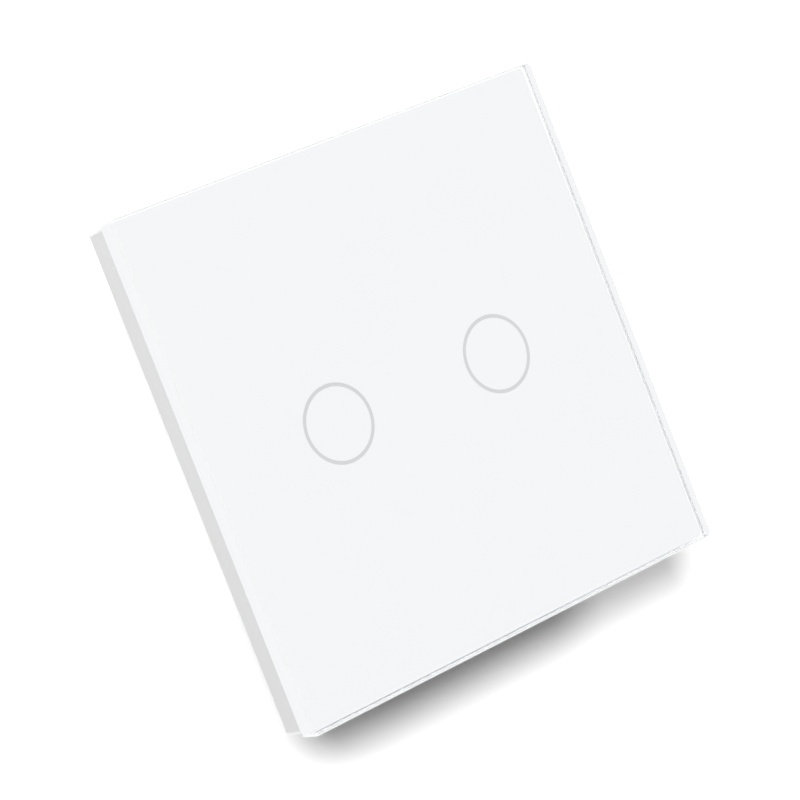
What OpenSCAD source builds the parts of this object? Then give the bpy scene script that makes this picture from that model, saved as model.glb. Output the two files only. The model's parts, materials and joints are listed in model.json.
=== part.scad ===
// Two-gang touch light switch for a single wall box.
// X is to the right, Y goes into the wall, Z is up. The wall face is y = 0.

/* [Front panel] */
// Width of the glass front
panel_w = 86; // [84:0.5:92]
// Height of the glass front
panel_h = 86; // [84:0.5:92]
// Thickness of the glass
glass_t = 4; // [3:0.1:6]
// Corner radius of the glass
glass_r = 0.8; // [0.5:0.1:4]
// Ground bevel on the glass edges
glass_bevel = 0.25; // [0.1:0.05:0.45]
// Thickness of the ink behind the glass
ink_t = 0.15; // [0.1:0.01:0.3]
// Bare glass left around the ink
ink_margin = 0.1; // [0.05:0.05:1]

/* [Touch rings] */
// Diameter of a ring on its centre line
ring_d = 12.65; // [11:0.05:13.5]
// Width of a ring's line
ring_line = 0.6; // [0.4:0.05:1]
// Distance between the ring centres
ring_pitch = 33.3; // [30:0.1:34.5]

/* [Panel frame] */
// How far the frame stands in from the glass edge
frame_inset = 0.6; // [0.3:0.1:1.5]
// Depth of the frame behind the glass
frame_depth = 5.3; // [5:0.1:7]
// Side wall of the frame
frame_wall = 1.6; // [1.2:0.1:2]
// Corner radius of the frame
frame_r = 0.6; // [0.3:0.1:2]
// Front plate of the frame
frame_plate = 1.2; // [0.9:0.1:1.3]
// Width of the window in the front plate
window_w = 64; // [60:0.5:66]
// Height of the window in the front plate
window_h = 64; // [60:0.5:66]
// Corner radius of the window
window_r = 3; // [1:0.5:6]
// Thickness of the adhesive tape
tape_t = 0.3; // [0.1:0.05:0.4]
// Rim of the frame left outside the tape
tape_rim = 1.2; // [0.8:0.1:2]
// Gap between the tape and its recess
tape_gap = 0.1; // [0.05:0.05:0.3]
// Distance between the hooks of one row
hook_pitch = 40; // [30:1:50]
// Width of a snap hook
hook_w = 9; // [6:0.5:11]
// Thickness of a snap hook
hook_t = 1.2; // [0.8:0.1:1.5]
// Barb of a snap hook
hook_barb = 0.5; // [0.3:0.1:0.7]
// Length of the barb
barb_len = 0.7; // [0.5:0.1:0.8]
// Width of the prying notch
pry_w = 10; // [6:0.5:14]
// Height of the prying notch from the wall side
pry_h = 1.6; // [1:0.1:2]

/* [Mounting frame] */
// Gap between the panel frame and the wall
wall_gap = 0.2; // [0.1:0.05:0.5]
// Thickness of the flange
flange_t = 2; // [1.6:0.1:2.2]
// Corner radius of the flange
flange_r = 1.5; // [0.5:0.5:4]
// Gap between the flange and the panel frame
flange_gap = 0.4; // [0.2:0.05:0.8]
// Gap between the ink and the platform
platform_gap = 1.5; // [1.2:0.1:2]
// Front wall of the platform
platform_t = 1.4; // [1:0.1:1.8]
// Side wall of the platform
platform_side = 1; // [0.8:0.1:1.2]
// Height of the platform
platform_h = 52; // [50:0.5:56]
// Distance between the wall screw slots
fixing_pitch = 60.3; // [60:0.1:61]
// Width of a wall screw slot
fixing_d = 4.2; // [3.8:0.1:4.6]
// Length of a wall screw slot
fixing_slot = 6; // [5:0.1:6.5]
// Gap around a snap hook in its slot
hook_gap = 0.2; // [0.1:0.05:0.4]
// Depth of the rear box's seat in the flange
seat_depth = 0.4; // [0.2:0.05:0.8]
// Gap around the rear box in its seat
seat_gap = 0.15; // [0.05:0.05:0.3]

/* [Rear box] */
// Width of the rear box
rear_w = 52; // [51.5:0.5:52.5]
// Height of the rear box
rear_h = 52; // [51.5:0.5:54]
// Depth of the rear box behind the wall face
rear_depth = 24; // [23:0.5:30]
// Wall of the rear box
rear_wall = 1.6; // [1.2:0.1:1.7]
// Corner radius of the rear box
rear_r = 3; // [2:0.5:4]
// Radius of a screw column
column_r = 3; // [2.9:0.05:3]
// Number of vent slots
vent_count = 7; // [3:1:9]
// Width of a vent slot
vent_w = 1.4; // [1:0.1:1.8]
// Length of a vent slot
vent_len = 9; // [6:0.5:11]
// Distance between vent slots
vent_pitch = 3.4; // [3:0.1:4]
// Height of the vent slots' middle
vent_z = 5.6; // [2:0.2:9]

/* [Screws] */
// Thread diameter of a rear box screw
box_screw_d = 2.5; // [2.2:0.1:2.6]
// Head diameter of a rear box screw
box_head_d = 4.6; // [4.2:0.1:4.8]
// Head height of a rear box screw
box_head_h = 1.6; // [1.2:0.1:2]
// How far the screw heads lie below the back face
box_head_sink = 1.4; // [0.6:0.1:3]
// How far the rear box screws go into their bosses
box_screw_bite = 6; // [4:0.5:6.5]
// Thread diameter of a board screw
board_screw_d = 2; // [1.6:0.1:2.2]
// Head diameter of a board screw
board_head_d = 3.8; // [3.4:0.1:4]
// Head height of a board screw
board_head_h = 1.2; // [1:0.1:1.6]
// How far a board screw goes into its boss
board_screw_bite = 2.6; // [2:0.1:3]
// Gap around a screw that passes through a piece
screw_gap = 0.2; // [0.1:0.05:0.3]
// Gap around a screw in its own thread
thread_gap = 0.02; // [0.01:0.01:0.05]
// Width of a screwdriver slot
slot_w = 0.8; // [0.6:0.1:1]
// Rim left around a screwdriver slot
slot_rim = 0.6; // [0.5:0.05:0.7]
// Depth of a screwdriver slot
slot_t = 0.7; // [0.5:0.1:0.9]

/* [Touch board] */
// Thickness of both boards
board_t = 1.6; // [1.2:0.1:1.6]
// Gap between a board and the rear box
board_gap = 0.3; // [0.2:0.05:0.5]
// Height of the platform's inside in front of the touch board
touch_standoff = 3.2; // [2.8:0.1:3.4]
// Radius of a boss that carries the touch board
board_boss_r = 2.2; // [1.8:0.1:2.4]
// Distance between the board bosses across
board_boss_pitch_x = 16; // [14:0.5:17]
// Distance between the board bosses up and down
board_boss_pitch_z = 36; // [33:0.5:38]
// Wire of a touch spring
spring_wire = 0.6; // [0.4:0.05:0.7]
// Outer diameter of a touch spring
spring_d = 8.2; // [7:0.1:9.5]
// Turns of a touch spring
spring_turns = 4.5; // [3.5:0.5:4.5]
// Gap between a touch spring and the ink
spring_gap = 0.2; // [0.1:0.05:0.4]
// Wall of a light guide
guide_wall = 1.2; // [0.9:0.1:1.4]
// Gap between a light guide and the ink
guide_gap = 0.4; // [0.2:0.05:0.7]
// Gap between a light guide and its hole
guide_hole_gap = 0.1; // [0.05:0.05:0.2]
// How far a light guide's flange stands out
guide_flange = 0.95; // [0.7:0.05:1]
// Thickness of a light guide's flange
guide_flange_t = 1.2; // [0.8:0.1:1.4]
// Diameter of a light guide's leg
guide_leg_d = 1.2; // [0.8:0.1:1.4]
// Length of an indicator LED
led_len = 1.6; // [1.2:0.1:2]
// Width of an indicator LED
led_w = 0.8; // [0.6:0.1:1]
// Height of an indicator LED
led_t = 0.8; // [0.5:0.1:1]
// Number of LEDs behind one ring
led_count = 4; // [2:2:6]
// Turn of the first LED around its ring
led_turn = 45; // [30:5:60]
// Gap between an LED and its light guide
led_gap = 0.3; // [0.2:0.05:0.5]
// Side of the touch controller
touch_chip_w = 6; // [5:0.5:7]
// Height of the chips on both boards
chip_t = 1.2; // [0.9:0.1:1.5]
// Distance between the touch controllers
touch_chip_pitch = 12; // [9:0.5:14]
// Number of small parts in each row on the touch board
passive_count = 6; // [3:1:7]
// Length of a small part
passive_len = 2; // [1.6:0.1:2.2]
// Width of a small part
passive_w = 1.2; // [0.8:0.1:1.4]
// Height of a small part
passive_t = 0.6; // [0.4:0.1:0.8]
// Distance between small parts
passive_pitch = 3.2; // [2.8:0.1:3.4]
// Height of the small parts' rows above and below the middle
passive_z = 12; // [9:0.5:13]

/* [Board link] */
// Number of header pins
header_count = 6; // [4:1:7]
// Distance between header pins
header_pitch = 2.54; // [2.5:0.01:2.6]
// Side of a header pin
header_pin = 0.64; // [0.5:0.01:0.66]
// How far a header pin stands out of a board
header_tail = 0.9; // [0.6:0.1:1.2]
// Height of the header on the boards
header_z = 8.4; // [7.6:0.1:8.6]
// Distance between the boards
link_h = 2.8; // [2.6:0.1:3.4]
// Gap around a pin in its hole
pin_gap = 0.05; // [0.02:0.01:0.1]

/* [Supply parts] */
// Transformer centre across
transformer_x = -15.4; // [-15.6:0.1:-14.8]
// Transformer centre up
transformer_z = -3.2; // [-3.6:0.1:-2.8]
// Width of the transformer core
core_w = 12.6; // [11:0.1:13]
// Depth of the transformer core
core_d = 5; // [4:0.1:5.5]
// Height of the transformer core
core_h = 10; // [9:0.1:11]
// Leg of the transformer core
core_leg = 1.8; // [1.6:0.1:2]
// Width of the bobbin rails
bobbin_d = 11.4; // [10.5:0.1:11.6]
// Thickness of the bobbin's walls
bobbin_t = 0.6; // [0.5:0.05:0.8]
// Rim of the bobbin's flanges around the winding
bobbin_rim = 1; // [0.6:0.1:1.2]
// Gap between bobbin, core and winding
wound_gap = 0.1; // [0.05:0.05:0.15]
// Diameter of a bulk capacitor
bulk_d = 8; // [6.3:0.1:8.4]
// Height of a bulk capacitor
bulk_h = 11.5; // [9:0.1:13]
// Distance between the bulk capacitors
bulk_pitch = 9; // [8.6:0.1:9.2]
// Middle of the bulk capacitors across
bulk_x = 4.8; // [4:0.1:5.4]
// Length of the safety capacitor
xcap_len = 13; // [11:0.1:13]
// Width of the safety capacitor
xcap_w = 5; // [4:0.1:5]
// Height of the safety capacitor
xcap_h = 10.5; // [8:0.1:12]
// Diameter of the varistor
varistor_d = 10; // [7:0.1:10.4]
// Thickness of the varistor
varistor_t = 4.2; // [3:0.1:4.4]
// Varistor centre across
varistor_x = 18.6; // [17.4:0.1:19]
// Length of the fuse
fuse_len = 9; // [7:0.1:9.4]
// Diameter of the fuse
fuse_d = 3.6; // [2.8:0.1:4]
// Fuse centre across
fuse_x = 14; // [13.6:0.1:15]
// Height of the safety capacitor and the fuse on the board
upper_row_z = 6.2; // [6:0.05:6.4]
// Wire of the leads
lead_d = 0.7; // [0.5:0.05:0.8]
// How far the leads stand out of the board
lead_tail = 0.6; // [0.4:0.1:0.8]
// Length of a supply chip
supply_chip_len = 5; // [4:0.1:5.4]
// Width of a supply chip
supply_chip_w = 3; // [2.4:0.1:3.2]
// Height of the supply chips on the board
supply_chip_z = -11.2; // [-11.4:0.1:-11]

/* [Relays] */
// Length of a relay
relay_len = 17; // [16.6:0.1:17.4]
// Width of a relay
relay_w = 10.2; // [9.8:0.1:10.6]
// Height of a relay
relay_h = 12.4; // [12.2:0.1:14]
// Gap between the relays
relay_gap = 1.2; // [0.8:0.1:1.2]
// Gap between the relays and the rear box's top wall
relay_top_gap = 2.8; // [2.6:0.1:3]
// Least gap between a relay and the rear box's columns
relay_side_gap = 0.4; // [0.2:0.05:0.5]
// Wall of a relay case
relay_wall = 0.7; // [0.5:0.05:0.8]
// Base of a relay
relay_base_t = 1.2; // [1:0.1:1.4]
// Thickness of the yoke
yoke_t = 1; // [0.8:0.1:1.1]
// Length of the yoke's foot
yoke_len = 8.8; // [8.4:0.1:9.2]
// Width of the yoke and the armature
yoke_w = 6; // [5:0.1:6.4]
// Height of the yoke's upright
yoke_h = 8.4; // [8:0.1:8.6]
// Diameter of the coil
coil_d = 8; // [7:0.1:8.2]
// Gap between the coil and the yoke's upright
coil_gap = 0.7; // [0.5:0.05:0.8]
// Flange of the coil
coil_flange = 0.6; // [0.4:0.05:0.8]
// Diameter of the core in the coil
relay_core_d = 3; // [2.4:0.1:3.4]
// Travel gap under the armature
armature_gap = 0.5; // [0.45:0.05:0.6]
// Running gap of the armature on the yoke's round edge
pivot_gap = 0.05; // [0.02:0.01:0.1]
// Thickness of the armature
armature_t = 0.8; // [0.6:0.05:0.9]
// Thickness of the contact blade
blade_t = 0.25; // [0.2:0.01:0.3]
// Width of the contact blade
blade_w = 4; // [3:0.1:4.6]
// Gap between the yoke and the contact blade
blade_gap = 1.1; // [0.8:0.1:1.2]
// Height of the contacts over the relay's base
rivet_h = 2.5; // [2.2:0.1:3]
// Gap between the open contacts
contact_gap = 0.38; // [0.36:0.01:0.45]
// Diameter of a contact rivet
rivet_d = 2.4; // [1.8:0.1:2.6]
// Height of a contact rivet
rivet_t = 0.6; // [0.4:0.05:0.65]
// Width of a relay pin
pin_w = 0.8; // [0.6:0.05:1]
// Thickness of a relay pin
pin_t = 0.5; // [0.4:0.05:0.6]

/* [Terminals] */
// Distance between the terminals
terminal_pitch = 9; // [8.8:0.05:9.05]
// Depth of the terminal block
terminal_depth = 14.6; // [14.4:0.1:15.4]
// Height of the terminal block
terminal_h = 12.3; // [12.2:0.1:12.5]
// Wall of the terminal block at the wire mouths
mouth_wall = 2; // [1.8:0.1:2]
// Width of a wire mouth
mouth_w = 4.8; // [4.4:0.1:4.9]
// Height of a wire mouth
mouth_h = 4.3; // [4.2:0.1:4.4]
// Bottom of the terminal block
terminal_floor = 0.8; // [0.6:0.05:0.9]
// Width of a clamp cage
cage_w = 6.4; // [6.2:0.1:6.6]
// Length of a clamp cage
cage_len = 7; // [6.4:0.1:7]
// Side wall of a clamp cage
cage_wall = 0.8; // [0.6:0.05:0.8]
// Floor of a clamp cage
cage_floor = 1; // [0.8:0.1:1]
// Threaded wall of a clamp cage
cage_nut = 1.3; // [1.1:0.1:1.4]
// Gap around a clamp cage
cage_gap = 0.3; // [0.2:0.05:0.3]
// Rise of a clamp cage
cage_travel = 3; // [2:0.1:3]
// Thickness of a fixed contact plate
plate_t = 0.8; // [0.6:0.05:0.8]
// Width of a fixed contact's leg
leg_w = 1.5; // [1:0.1:2]
// Thread diameter of a terminal screw
terminal_screw_d = 3; // [2.6:0.1:3.2]
// Head diameter of a terminal screw
terminal_head_d = 5.2; // [4.6:0.1:5.4]
// Head height of a terminal screw
terminal_head_h = 1.5; // [1.2:0.1:1.7]
// Ledge that holds a terminal screw
terminal_ledge = 0.8; // [0.6:0.05:0.9]
// Running gap of a terminal screw
terminal_gap = 0.05; // [0.02:0.01:0.08]

/* [Hidden] */

$fn = 64;
// Extra length on a cut so that it leaves no skin
over = 0.5;
// Cylinders that stop inside a solid sink this far into it
root = 0.2;

// Levels along Y, from the wall towards the front
y_frame_back = -wall_gap;
y_frame_front = y_frame_back - frame_depth;
y_ink_front = y_frame_front - ink_t;
y_glass_front = y_ink_front - glass_t;
y_plate_back = y_frame_front + frame_plate;
y_platform = y_frame_front + platform_gap;
y_platform_in = y_platform + platform_t;

// Levels along Y, from the platform towards the rear
y_touch = y_platform_in + touch_standoff;
y_touch_back = y_touch + board_t;
y_power = y_touch_back + link_h;
y_power_back = y_power + board_t;
y_rear_in = rear_depth - rear_wall;

// Outlines
frame_w = panel_w - 2 * frame_inset;
frame_h = panel_h - 2 * frame_inset;
frame_in_w = frame_w - 2 * frame_wall;
frame_in_h = frame_h - 2 * frame_wall;
flange_w = frame_in_w - 2 * flange_gap;
flange_h = frame_in_h - 2 * flange_gap;
tape_w = frame_w - 2 * tape_rim;
tape_h = frame_h - 2 * tape_rim;
rear_in_w = rear_w - 2 * rear_wall;
rear_in_h = rear_h - 2 * rear_wall;
board_w = rear_in_w - 2 * board_gap;
board_h = rear_in_h - 2 * board_gap;

// Hooks stand between the window and the frame's wall
hook_z = (window_h + frame_in_h) / 4;
y_hook_end = y_frame_back - hook_gap;

// Light guides surround the touch springs, behind the rings
ring_x = ring_pitch / 2;
guide_r = (ring_d + guide_wall) / 2;
guide_in_r = guide_r - guide_wall;
guide_flange_r = guide_r + guide_flange;
y_guide_front = y_frame_front + guide_gap;
y_guide_back = y_touch - led_t - led_gap;
platform_in_w = 2 * (ring_x + guide_flange_r + flange_gap);
platform_w = platform_in_w + 2 * platform_side;
platform_in_h = platform_h - 2 * platform_side;

// Rear box screws pass through the columns and the power board
column_x = rear_in_w / 2 - column_r;
column_z = rear_in_h / 2 - column_r;
boss_r = column_r - screw_gap;
box_screw_r = box_screw_d / 2;
y_box_head = rear_depth - box_head_sink - box_head_h;
y_box_tip = y_power - box_screw_bite;

// Relays stand against the top wall, with the works midway in the case
relay_x = relay_gap / 2;
relay_z = rear_in_h / 2 - relay_top_gap - relay_w;
y_relay = y_power_back + relay_base_t;
y_relay_top = y_power_back + relay_h;
relay_mid = relay_w / 2;
y_yoke_top = y_relay + yoke_h;
y_pole = y_yoke_top - root;
y_armature = y_pole + armature_gap;
works_len = coil_d + coil_gap + 2 * yoke_t + blade_gap + blade_t + 2 * rivet_t + contact_gap;
coil_u = (relay_len - works_len + coil_d) / 2;
yoke_u = coil_u + coil_d / 2 + coil_gap + yoke_t;
foot_u = yoke_u - yoke_len;
pivot_u = yoke_u - yoke_t / 2;
pivot_r = y_armature - y_yoke_top - pivot_gap;
armature_u = yoke_u + root;
blade_u = yoke_u + blade_gap;
y_rivet = y_relay + rivet_h;
fixed_u = blade_u + blade_t + 2 * rivet_t + contact_gap;

// Terminal block hangs over the bottom edge of the power board
terminal_count = 4;
terminal_w = terminal_count * terminal_pitch + 2 * screw_gap;
z_terminal = -rear_h / 2 + screw_gap;
z_terminal_top = z_terminal + terminal_h;
y_terminal_back = y_power_back + terminal_depth;
z_cage = z_terminal + mouth_wall + cage_gap;
z_cage_mid = z_cage + cage_len / 2;
y_cage = y_power_back + terminal_floor + screw_gap;
cage_in_w = cage_w - 2 * cage_wall;
y_cage_in = y_cage + cage_floor;
y_plate = y_cage_in + mouth_h;
y_plate_rear = y_plate + plate_t;
y_nut = y_plate_rear + screw_gap;
y_cage_back = y_nut + cage_nut;
y_ledge = y_cage_back + cage_travel + screw_gap;
y_terminal_seat = y_ledge + terminal_ledge;
y_terminal_head = y_terminal_seat + terminal_gap;
y_terminal_tip = y_plate_rear + terminal_gap;
terminal_screw_r = terminal_screw_d / 2;
z_leg = z_cage + cage_len + cage_gap + plate_t;

// Solid between two opposite corners
module block(low, high) {
  translate(low) cube(high - low);
}

// Round rod along Y
module rod(r, y0, y1) {
  translate([0, y1, 0]) rotate([90, 0, 0]) cylinder(r = r, h = y1 - y0);
}

// Flat outline in X and Z, carried along Y
module slab(y0, y1) {
  translate([0, y1, 0]) rotate([90, 0, 0]) linear_extrude(y1 - y0) children();
}

// Rectangle with round corners
module rounded(w, h, r) {
  square([w - 2 * r, h], center = true);
  square([w, h - 2 * r], center = true);
  for (x = [-1, 1], z = [-1, 1])
    translate([x * (w / 2 - r), z * (h / 2 - r)]) circle(r);
}

// Copies at the four corners of a rectangle
module corners(x, z) {
  for (i = [-1, 1], j = [-1, 1]) translate([i * x, 0, j * z]) children();
}

// Copies at the two ring centres
module both_rings() {
  for (side = [-1, 1]) translate([side * ring_x, 0, 0]) children();
}

// Places a piece at one ring, mirrored for the left one
module at_ring(side) {
  mirror([side < 0 ? 1 : 0, 0, 0]) translate([ring_x, 0, 0]) children();
}

// Screw along Y with a crossed head that faces the rear
module screw(r, head_r, head_h, y_tip, y_head) {
  difference() {
    union() {
      rod(r, y_tip, y_head + root);
      rod(head_r, y_head, y_head + head_h);
    }
    for (turn = [0, 90])
      rotate([0, turn, 0])
        block([slot_rim - head_r, y_head + head_h - slot_t, -slot_w / 2],
              [head_r - slot_rim, y_head + head_h + over, slot_w / 2]);
  }
}

// Cross-section of the glass from edge to edge, bevelled on both faces
function bevelled(half) = [
  [-half, y_glass_front + glass_bevel], [-half + glass_bevel, y_glass_front],
  [half - glass_bevel, y_glass_front], [half, y_glass_front + glass_bevel],
  [half, y_ink_front - glass_bevel], [half - glass_bevel, y_ink_front],
  [-half + glass_bevel, y_ink_front], [-half, y_ink_front - glass_bevel]
];

module glass_panel() {
  w = panel_w - 2 * glass_r;
  h = panel_h - 2 * glass_r;
  color([0.93, 0.96, 0.95, 0.5]) union() {
    translate([0, 0, -h / 2]) linear_extrude(h) polygon(bevelled(panel_w / 2));
    rotate([0, 90, 0]) translate([0, 0, -w / 2]) linear_extrude(w) polygon(bevelled(panel_h / 2));
    corners(w / 2, h / 2) {
      rod(glass_r, y_glass_front + glass_bevel, y_ink_front - glass_bevel);
      translate([0, y_glass_front, 0]) rotate([-90, 0, 0])
        cylinder(r1 = glass_r - glass_bevel, r2 = glass_r, h = glass_bevel);
      translate([0, y_ink_front, 0]) rotate([90, 0, 0])
        cylinder(r1 = glass_r - glass_bevel, r2 = glass_r, h = glass_bevel);
    }
  }
}

// Outline of a ring
module ring() {
  difference() {
    circle((ring_d + ring_line) / 2);
    circle((ring_d - ring_line) / 2);
  }
}

module ink_layer() {
  w = panel_w - 2 * (glass_bevel + ink_margin);
  h = panel_h - 2 * (glass_bevel + ink_margin);
  color([0.96, 0.97, 0.97]) slab(y_ink_front, y_frame_front) difference() {
    rounded(w, h, glass_r);
    for (side = [-1, 1]) translate([side * ring_x, 0]) ring();
  }
}

module ring_window(side) {
  color([0.78, 0.79, 0.8]) translate([side * ring_x, 0, 0]) slab(y_ink_front, y_frame_front) ring();
}

module adhesive_tape() {
  color([0.9, 0.9, 0.88]) slab(y_frame_front, y_frame_front + tape_t) difference() {
    square([tape_w - 2 * tape_gap, tape_h - 2 * tape_gap], center = true);
    rounded(window_w + 2 * tape_gap, window_h + 2 * tape_gap, window_r);
  }
}

// Snap hook at the top, with its barb outwards
module hook() {
  low = hook_z - hook_t / 2;
  high = hook_z + hook_t / 2;
  block([-hook_w / 2, y_plate_back - root, low], [hook_w / 2, y_hook_end, high]);
  block([-hook_w / 2, y_hook_end - barb_len, hook_z], [hook_w / 2, y_hook_end, high + hook_barb]);
}

// Copies at the four hooks
module hooks() {
  for (x = [-1, 1], turn = [0, 180])
    rotate([0, turn, 0]) translate([x * hook_pitch / 2, 0, 0]) children();
}

module panel_frame() {
  color([0.87, 0.87, 0.87]) {
    difference() {
      slab(y_frame_front, y_frame_back) rounded(frame_w, frame_h, frame_r);
      slab(y_plate_back, y_frame_back + over) square([frame_in_w, frame_in_h], center = true);
      slab(y_frame_front - over, y_plate_back + over) rounded(window_w, window_h, window_r);
      slab(y_frame_front - over, y_frame_front + tape_t) square([tape_w, tape_h], center = true);
      block([-pry_w / 2, y_frame_back - pry_h, -frame_h / 2 - over],
            [pry_w / 2, y_frame_back + over, -frame_in_h / 2 + over]);
    }
    hooks() hook();
  }
}

// Slot for one hook, wider behind the barb's catch
module hook_slot() {
  half = hook_w / 2 + 2 * hook_gap;
  low = hook_z - hook_t / 2 - hook_gap;
  high = hook_z + hook_t / 2 + hook_barb + hook_gap;
  y_catch = y_hook_end - barb_len - hook_gap;
  block([-half, -flange_t - over, low], [half, over, high]);
  block([-half, y_catch, low], [half, over, high + hook_barb]);
}

module fixing_slots() {
  run = (fixing_slot - fixing_d) / 2;
  for (side = [-1, 1]) translate([side * fixing_pitch / 2, 0, 0]) {
    for (end = [-1, 1]) translate([end * run, 0, 0]) rod(fixing_d / 2, -flange_t - over, over);
    block([-run, -flange_t - over, -fixing_d / 2], [run, over, fixing_d / 2]);
  }
}

module mounting_frame() {
  color([0.93, 0.93, 0.92]) difference() {
    union() {
      difference() {
        union() {
          slab(-flange_t, 0) rounded(flange_w, flange_h, flange_r);
          slab(y_platform, 0) rounded(platform_w, platform_h, rear_r);
        }
        slab(y_platform_in, over) square([platform_in_w, platform_in_h], center = true);
        slab(-seat_depth, over) rounded(rear_w + 2 * seat_gap, rear_h + 2 * seat_gap, rear_r + seat_gap);
      }
      corners(column_x, column_z) rod(boss_r, y_platform_in - root, y_power);
      corners(board_boss_pitch_x / 2, board_boss_pitch_z / 2)
        rod(board_boss_r, y_platform_in - root, y_touch);
    }
    both_rings() rod(guide_r + guide_hole_gap, y_platform - over, y_platform_in + over);
    corners(column_x, column_z) rod(box_screw_r + thread_gap, y_box_tip - screw_gap, y_power + over);
    corners(board_boss_pitch_x / 2, board_boss_pitch_z / 2)
      rod(board_screw_d / 2 + thread_gap, y_touch - board_screw_bite - screw_gap, y_touch + over);
    fixing_slots();
    hooks() hook_slot();
  }
}

// Space of the terminal block in the rear box
module terminal_notch(grow, y0) {
  half = terminal_w / 2 + grow;
  block([-half, y0, -rear_h / 2 - over], [half, rear_depth + over, z_terminal_top + grow]);
}

module vents() {
  for (i = [0 : vent_count - 1]) translate([(i - (vent_count - 1) / 2) * vent_pitch, 0, vent_z])
    slab(y_rear_in - over, rear_depth + over) rounded(vent_w, vent_len, vent_w / 2 - thread_gap);
}

module rear_box() {
  y_rib = y_power_back + terminal_depth / 2;
  color([0.92, 0.92, 0.91]) difference() {
    union() {
      difference() {
        slab(-seat_depth, rear_depth) rounded(rear_w, rear_h, rear_r);
        slab(-seat_depth - over, y_rear_in) rounded(rear_in_w, rear_in_h, rear_r - rear_wall);
      }
      corners(column_x, column_z) rod(column_r, y_power_back, y_rear_in + root);
      intersection() {
        terminal_notch(screw_gap + rear_wall / 2, y_rib);
        slab(y_rib, y_rear_in + root)
          square([rear_in_w + rear_wall, rear_in_h + rear_wall], center = true);
      }
    }
    terminal_notch(screw_gap, y_power_back - screw_gap);
    relays() relay_space();
    vents();
    corners(column_x, column_z) {
      rod(box_screw_r + screw_gap, y_power_back - over, y_box_head + over);
      rod(box_head_d / 2 + screw_gap, y_box_head, rear_depth + over);
    }
  }
}

module box_screws() {
  color("silver") corners(column_x, column_z)
    screw(box_screw_r, box_head_d / 2, box_head_h, y_box_tip, y_box_head);
}

// Square pins of the board link, or their holes
module link_pins(half, y0, y1) {
  for (i = [0 : header_count - 1]) translate([(i - (header_count - 1) / 2) * header_pitch, 0, header_z])
    block([-half, y0, -half], [half, y1, half]);
}

module touch_pcb() {
  color([0.08, 0.32, 0.2]) difference() {
    slab(y_touch, y_touch_back) square([board_w, board_h], center = true);
    corners(column_x, column_z) rod(boss_r + screw_gap, y_touch - over, y_touch_back + over);
    corners(board_w / 2, board_h / 2)
      block([-column_r, y_touch - over, -column_r], [column_r, y_touch_back + over, column_r]);
    corners(board_boss_pitch_x / 2, board_boss_pitch_z / 2)
      rod(board_screw_d / 2 + screw_gap, y_touch - over, y_touch_back + over);
    link_pins(header_pin / 2 + pin_gap, y_touch - over, y_touch_back + over);
  }
}

module board_screws() {
  color("silver") corners(board_boss_pitch_x / 2, board_boss_pitch_z / 2)
    screw(board_screw_d / 2, board_head_d / 2, board_head_h, y_touch - board_screw_bite, y_touch_back);
}

// Helix of a touch spring: from the board to just behind the ink
spring_sides = 6;
spring_rings = 8;
spring_r = (spring_d - spring_wire) / 2;
y_spring_low = y_touch - spring_wire / 2;
y_spring_high = y_frame_front + spring_gap + spring_wire / 2;
spring_pitch = (y_spring_low - y_spring_high) / spring_turns;
spring_steps = spring_turns * spring_rings;

function coil_point(i) = [
  spring_r * cos(360 * i / spring_rings),
  y_spring_low - spring_pitch * i / spring_rings,
  spring_r * sin(360 * i / spring_rings)
];
function coil_ring(i) = [
  for (k = [0 : spring_sides - 1])
    let (
      turn = 360 * i / spring_rings,
      side = 360 * k / spring_sides,
      reach = spring_wire / 2 * cos(side)
    )
      coil_point(i) + [reach * cos(turn), spring_wire / 2 * sin(side), reach * sin(turn)]
];

// Least gap of the spring to itself, measured between points a turn or more apart
spring_self_gap = min([
  for (i = [0 : spring_steps - spring_rings], j = [i + spring_rings : spring_steps])
    norm(coil_point(i) - coil_point(j)) - spring_wire
]);
echo(spring_self_gap = spring_self_gap);

module touch_spring(side) {
  points = [for (i = [0 : spring_steps]) each coil_ring(i)];
  last = spring_steps * spring_sides;
  skin = [
    for (i = [0 : spring_steps - 1], k = [0 : spring_sides - 1])
      let (a = i * spring_sides, b = a + spring_sides, n = (k + 1) % spring_sides)
        each [[a + k, a + n, b + n], [a + k, b + n, b + k]]
  ];
  caps = [
    for (k = [1 : spring_sides - 2])
      each [[0, k + 1, k], [last, last + k, last + k + 1]]
  ];
  color([0.8, 0.68, 0.4]) at_ring(side) polyhedron(points, concat(skin, caps));
}

module light_guide(side) {
  color([0.9, 0.95, 0.97, 0.6]) at_ring(side) union() {
    difference() {
      union() {
        rod(guide_r, y_guide_front, y_guide_back);
        rod(guide_flange_r, y_platform_in, y_platform_in + guide_flange_t);
      }
      rod(guide_in_r, y_guide_front - over, y_guide_back + over);
    }
    for (turn = [90, 180, 270]) rotate([0, turn, 0])
      translate([guide_flange_r - guide_leg_d / 2, 0, 0])
        rod(guide_leg_d / 2, y_platform_in + guide_flange_t / 2, y_touch);
  }
}

module indicator_leds() {
  color([1, 0.95, 0.7]) both_rings()
    for (i = [0 : led_count - 1])
      rotate([0, led_turn + 360 * i / led_count, 0]) translate([ring_d / 2, 0, 0])
        block([-led_w / 2, y_touch - led_t, -led_len / 2], [led_w / 2, y_touch, led_len / 2]);
}

module touch_chips() {
  half = touch_chip_w / 2;
  color([0.12, 0.12, 0.13]) for (side = [-1, 1]) translate([side * touch_chip_pitch / 2, 0, 0])
    block([-half, y_touch_back, -half], [half, y_touch_back + chip_t, half]);
}

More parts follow.
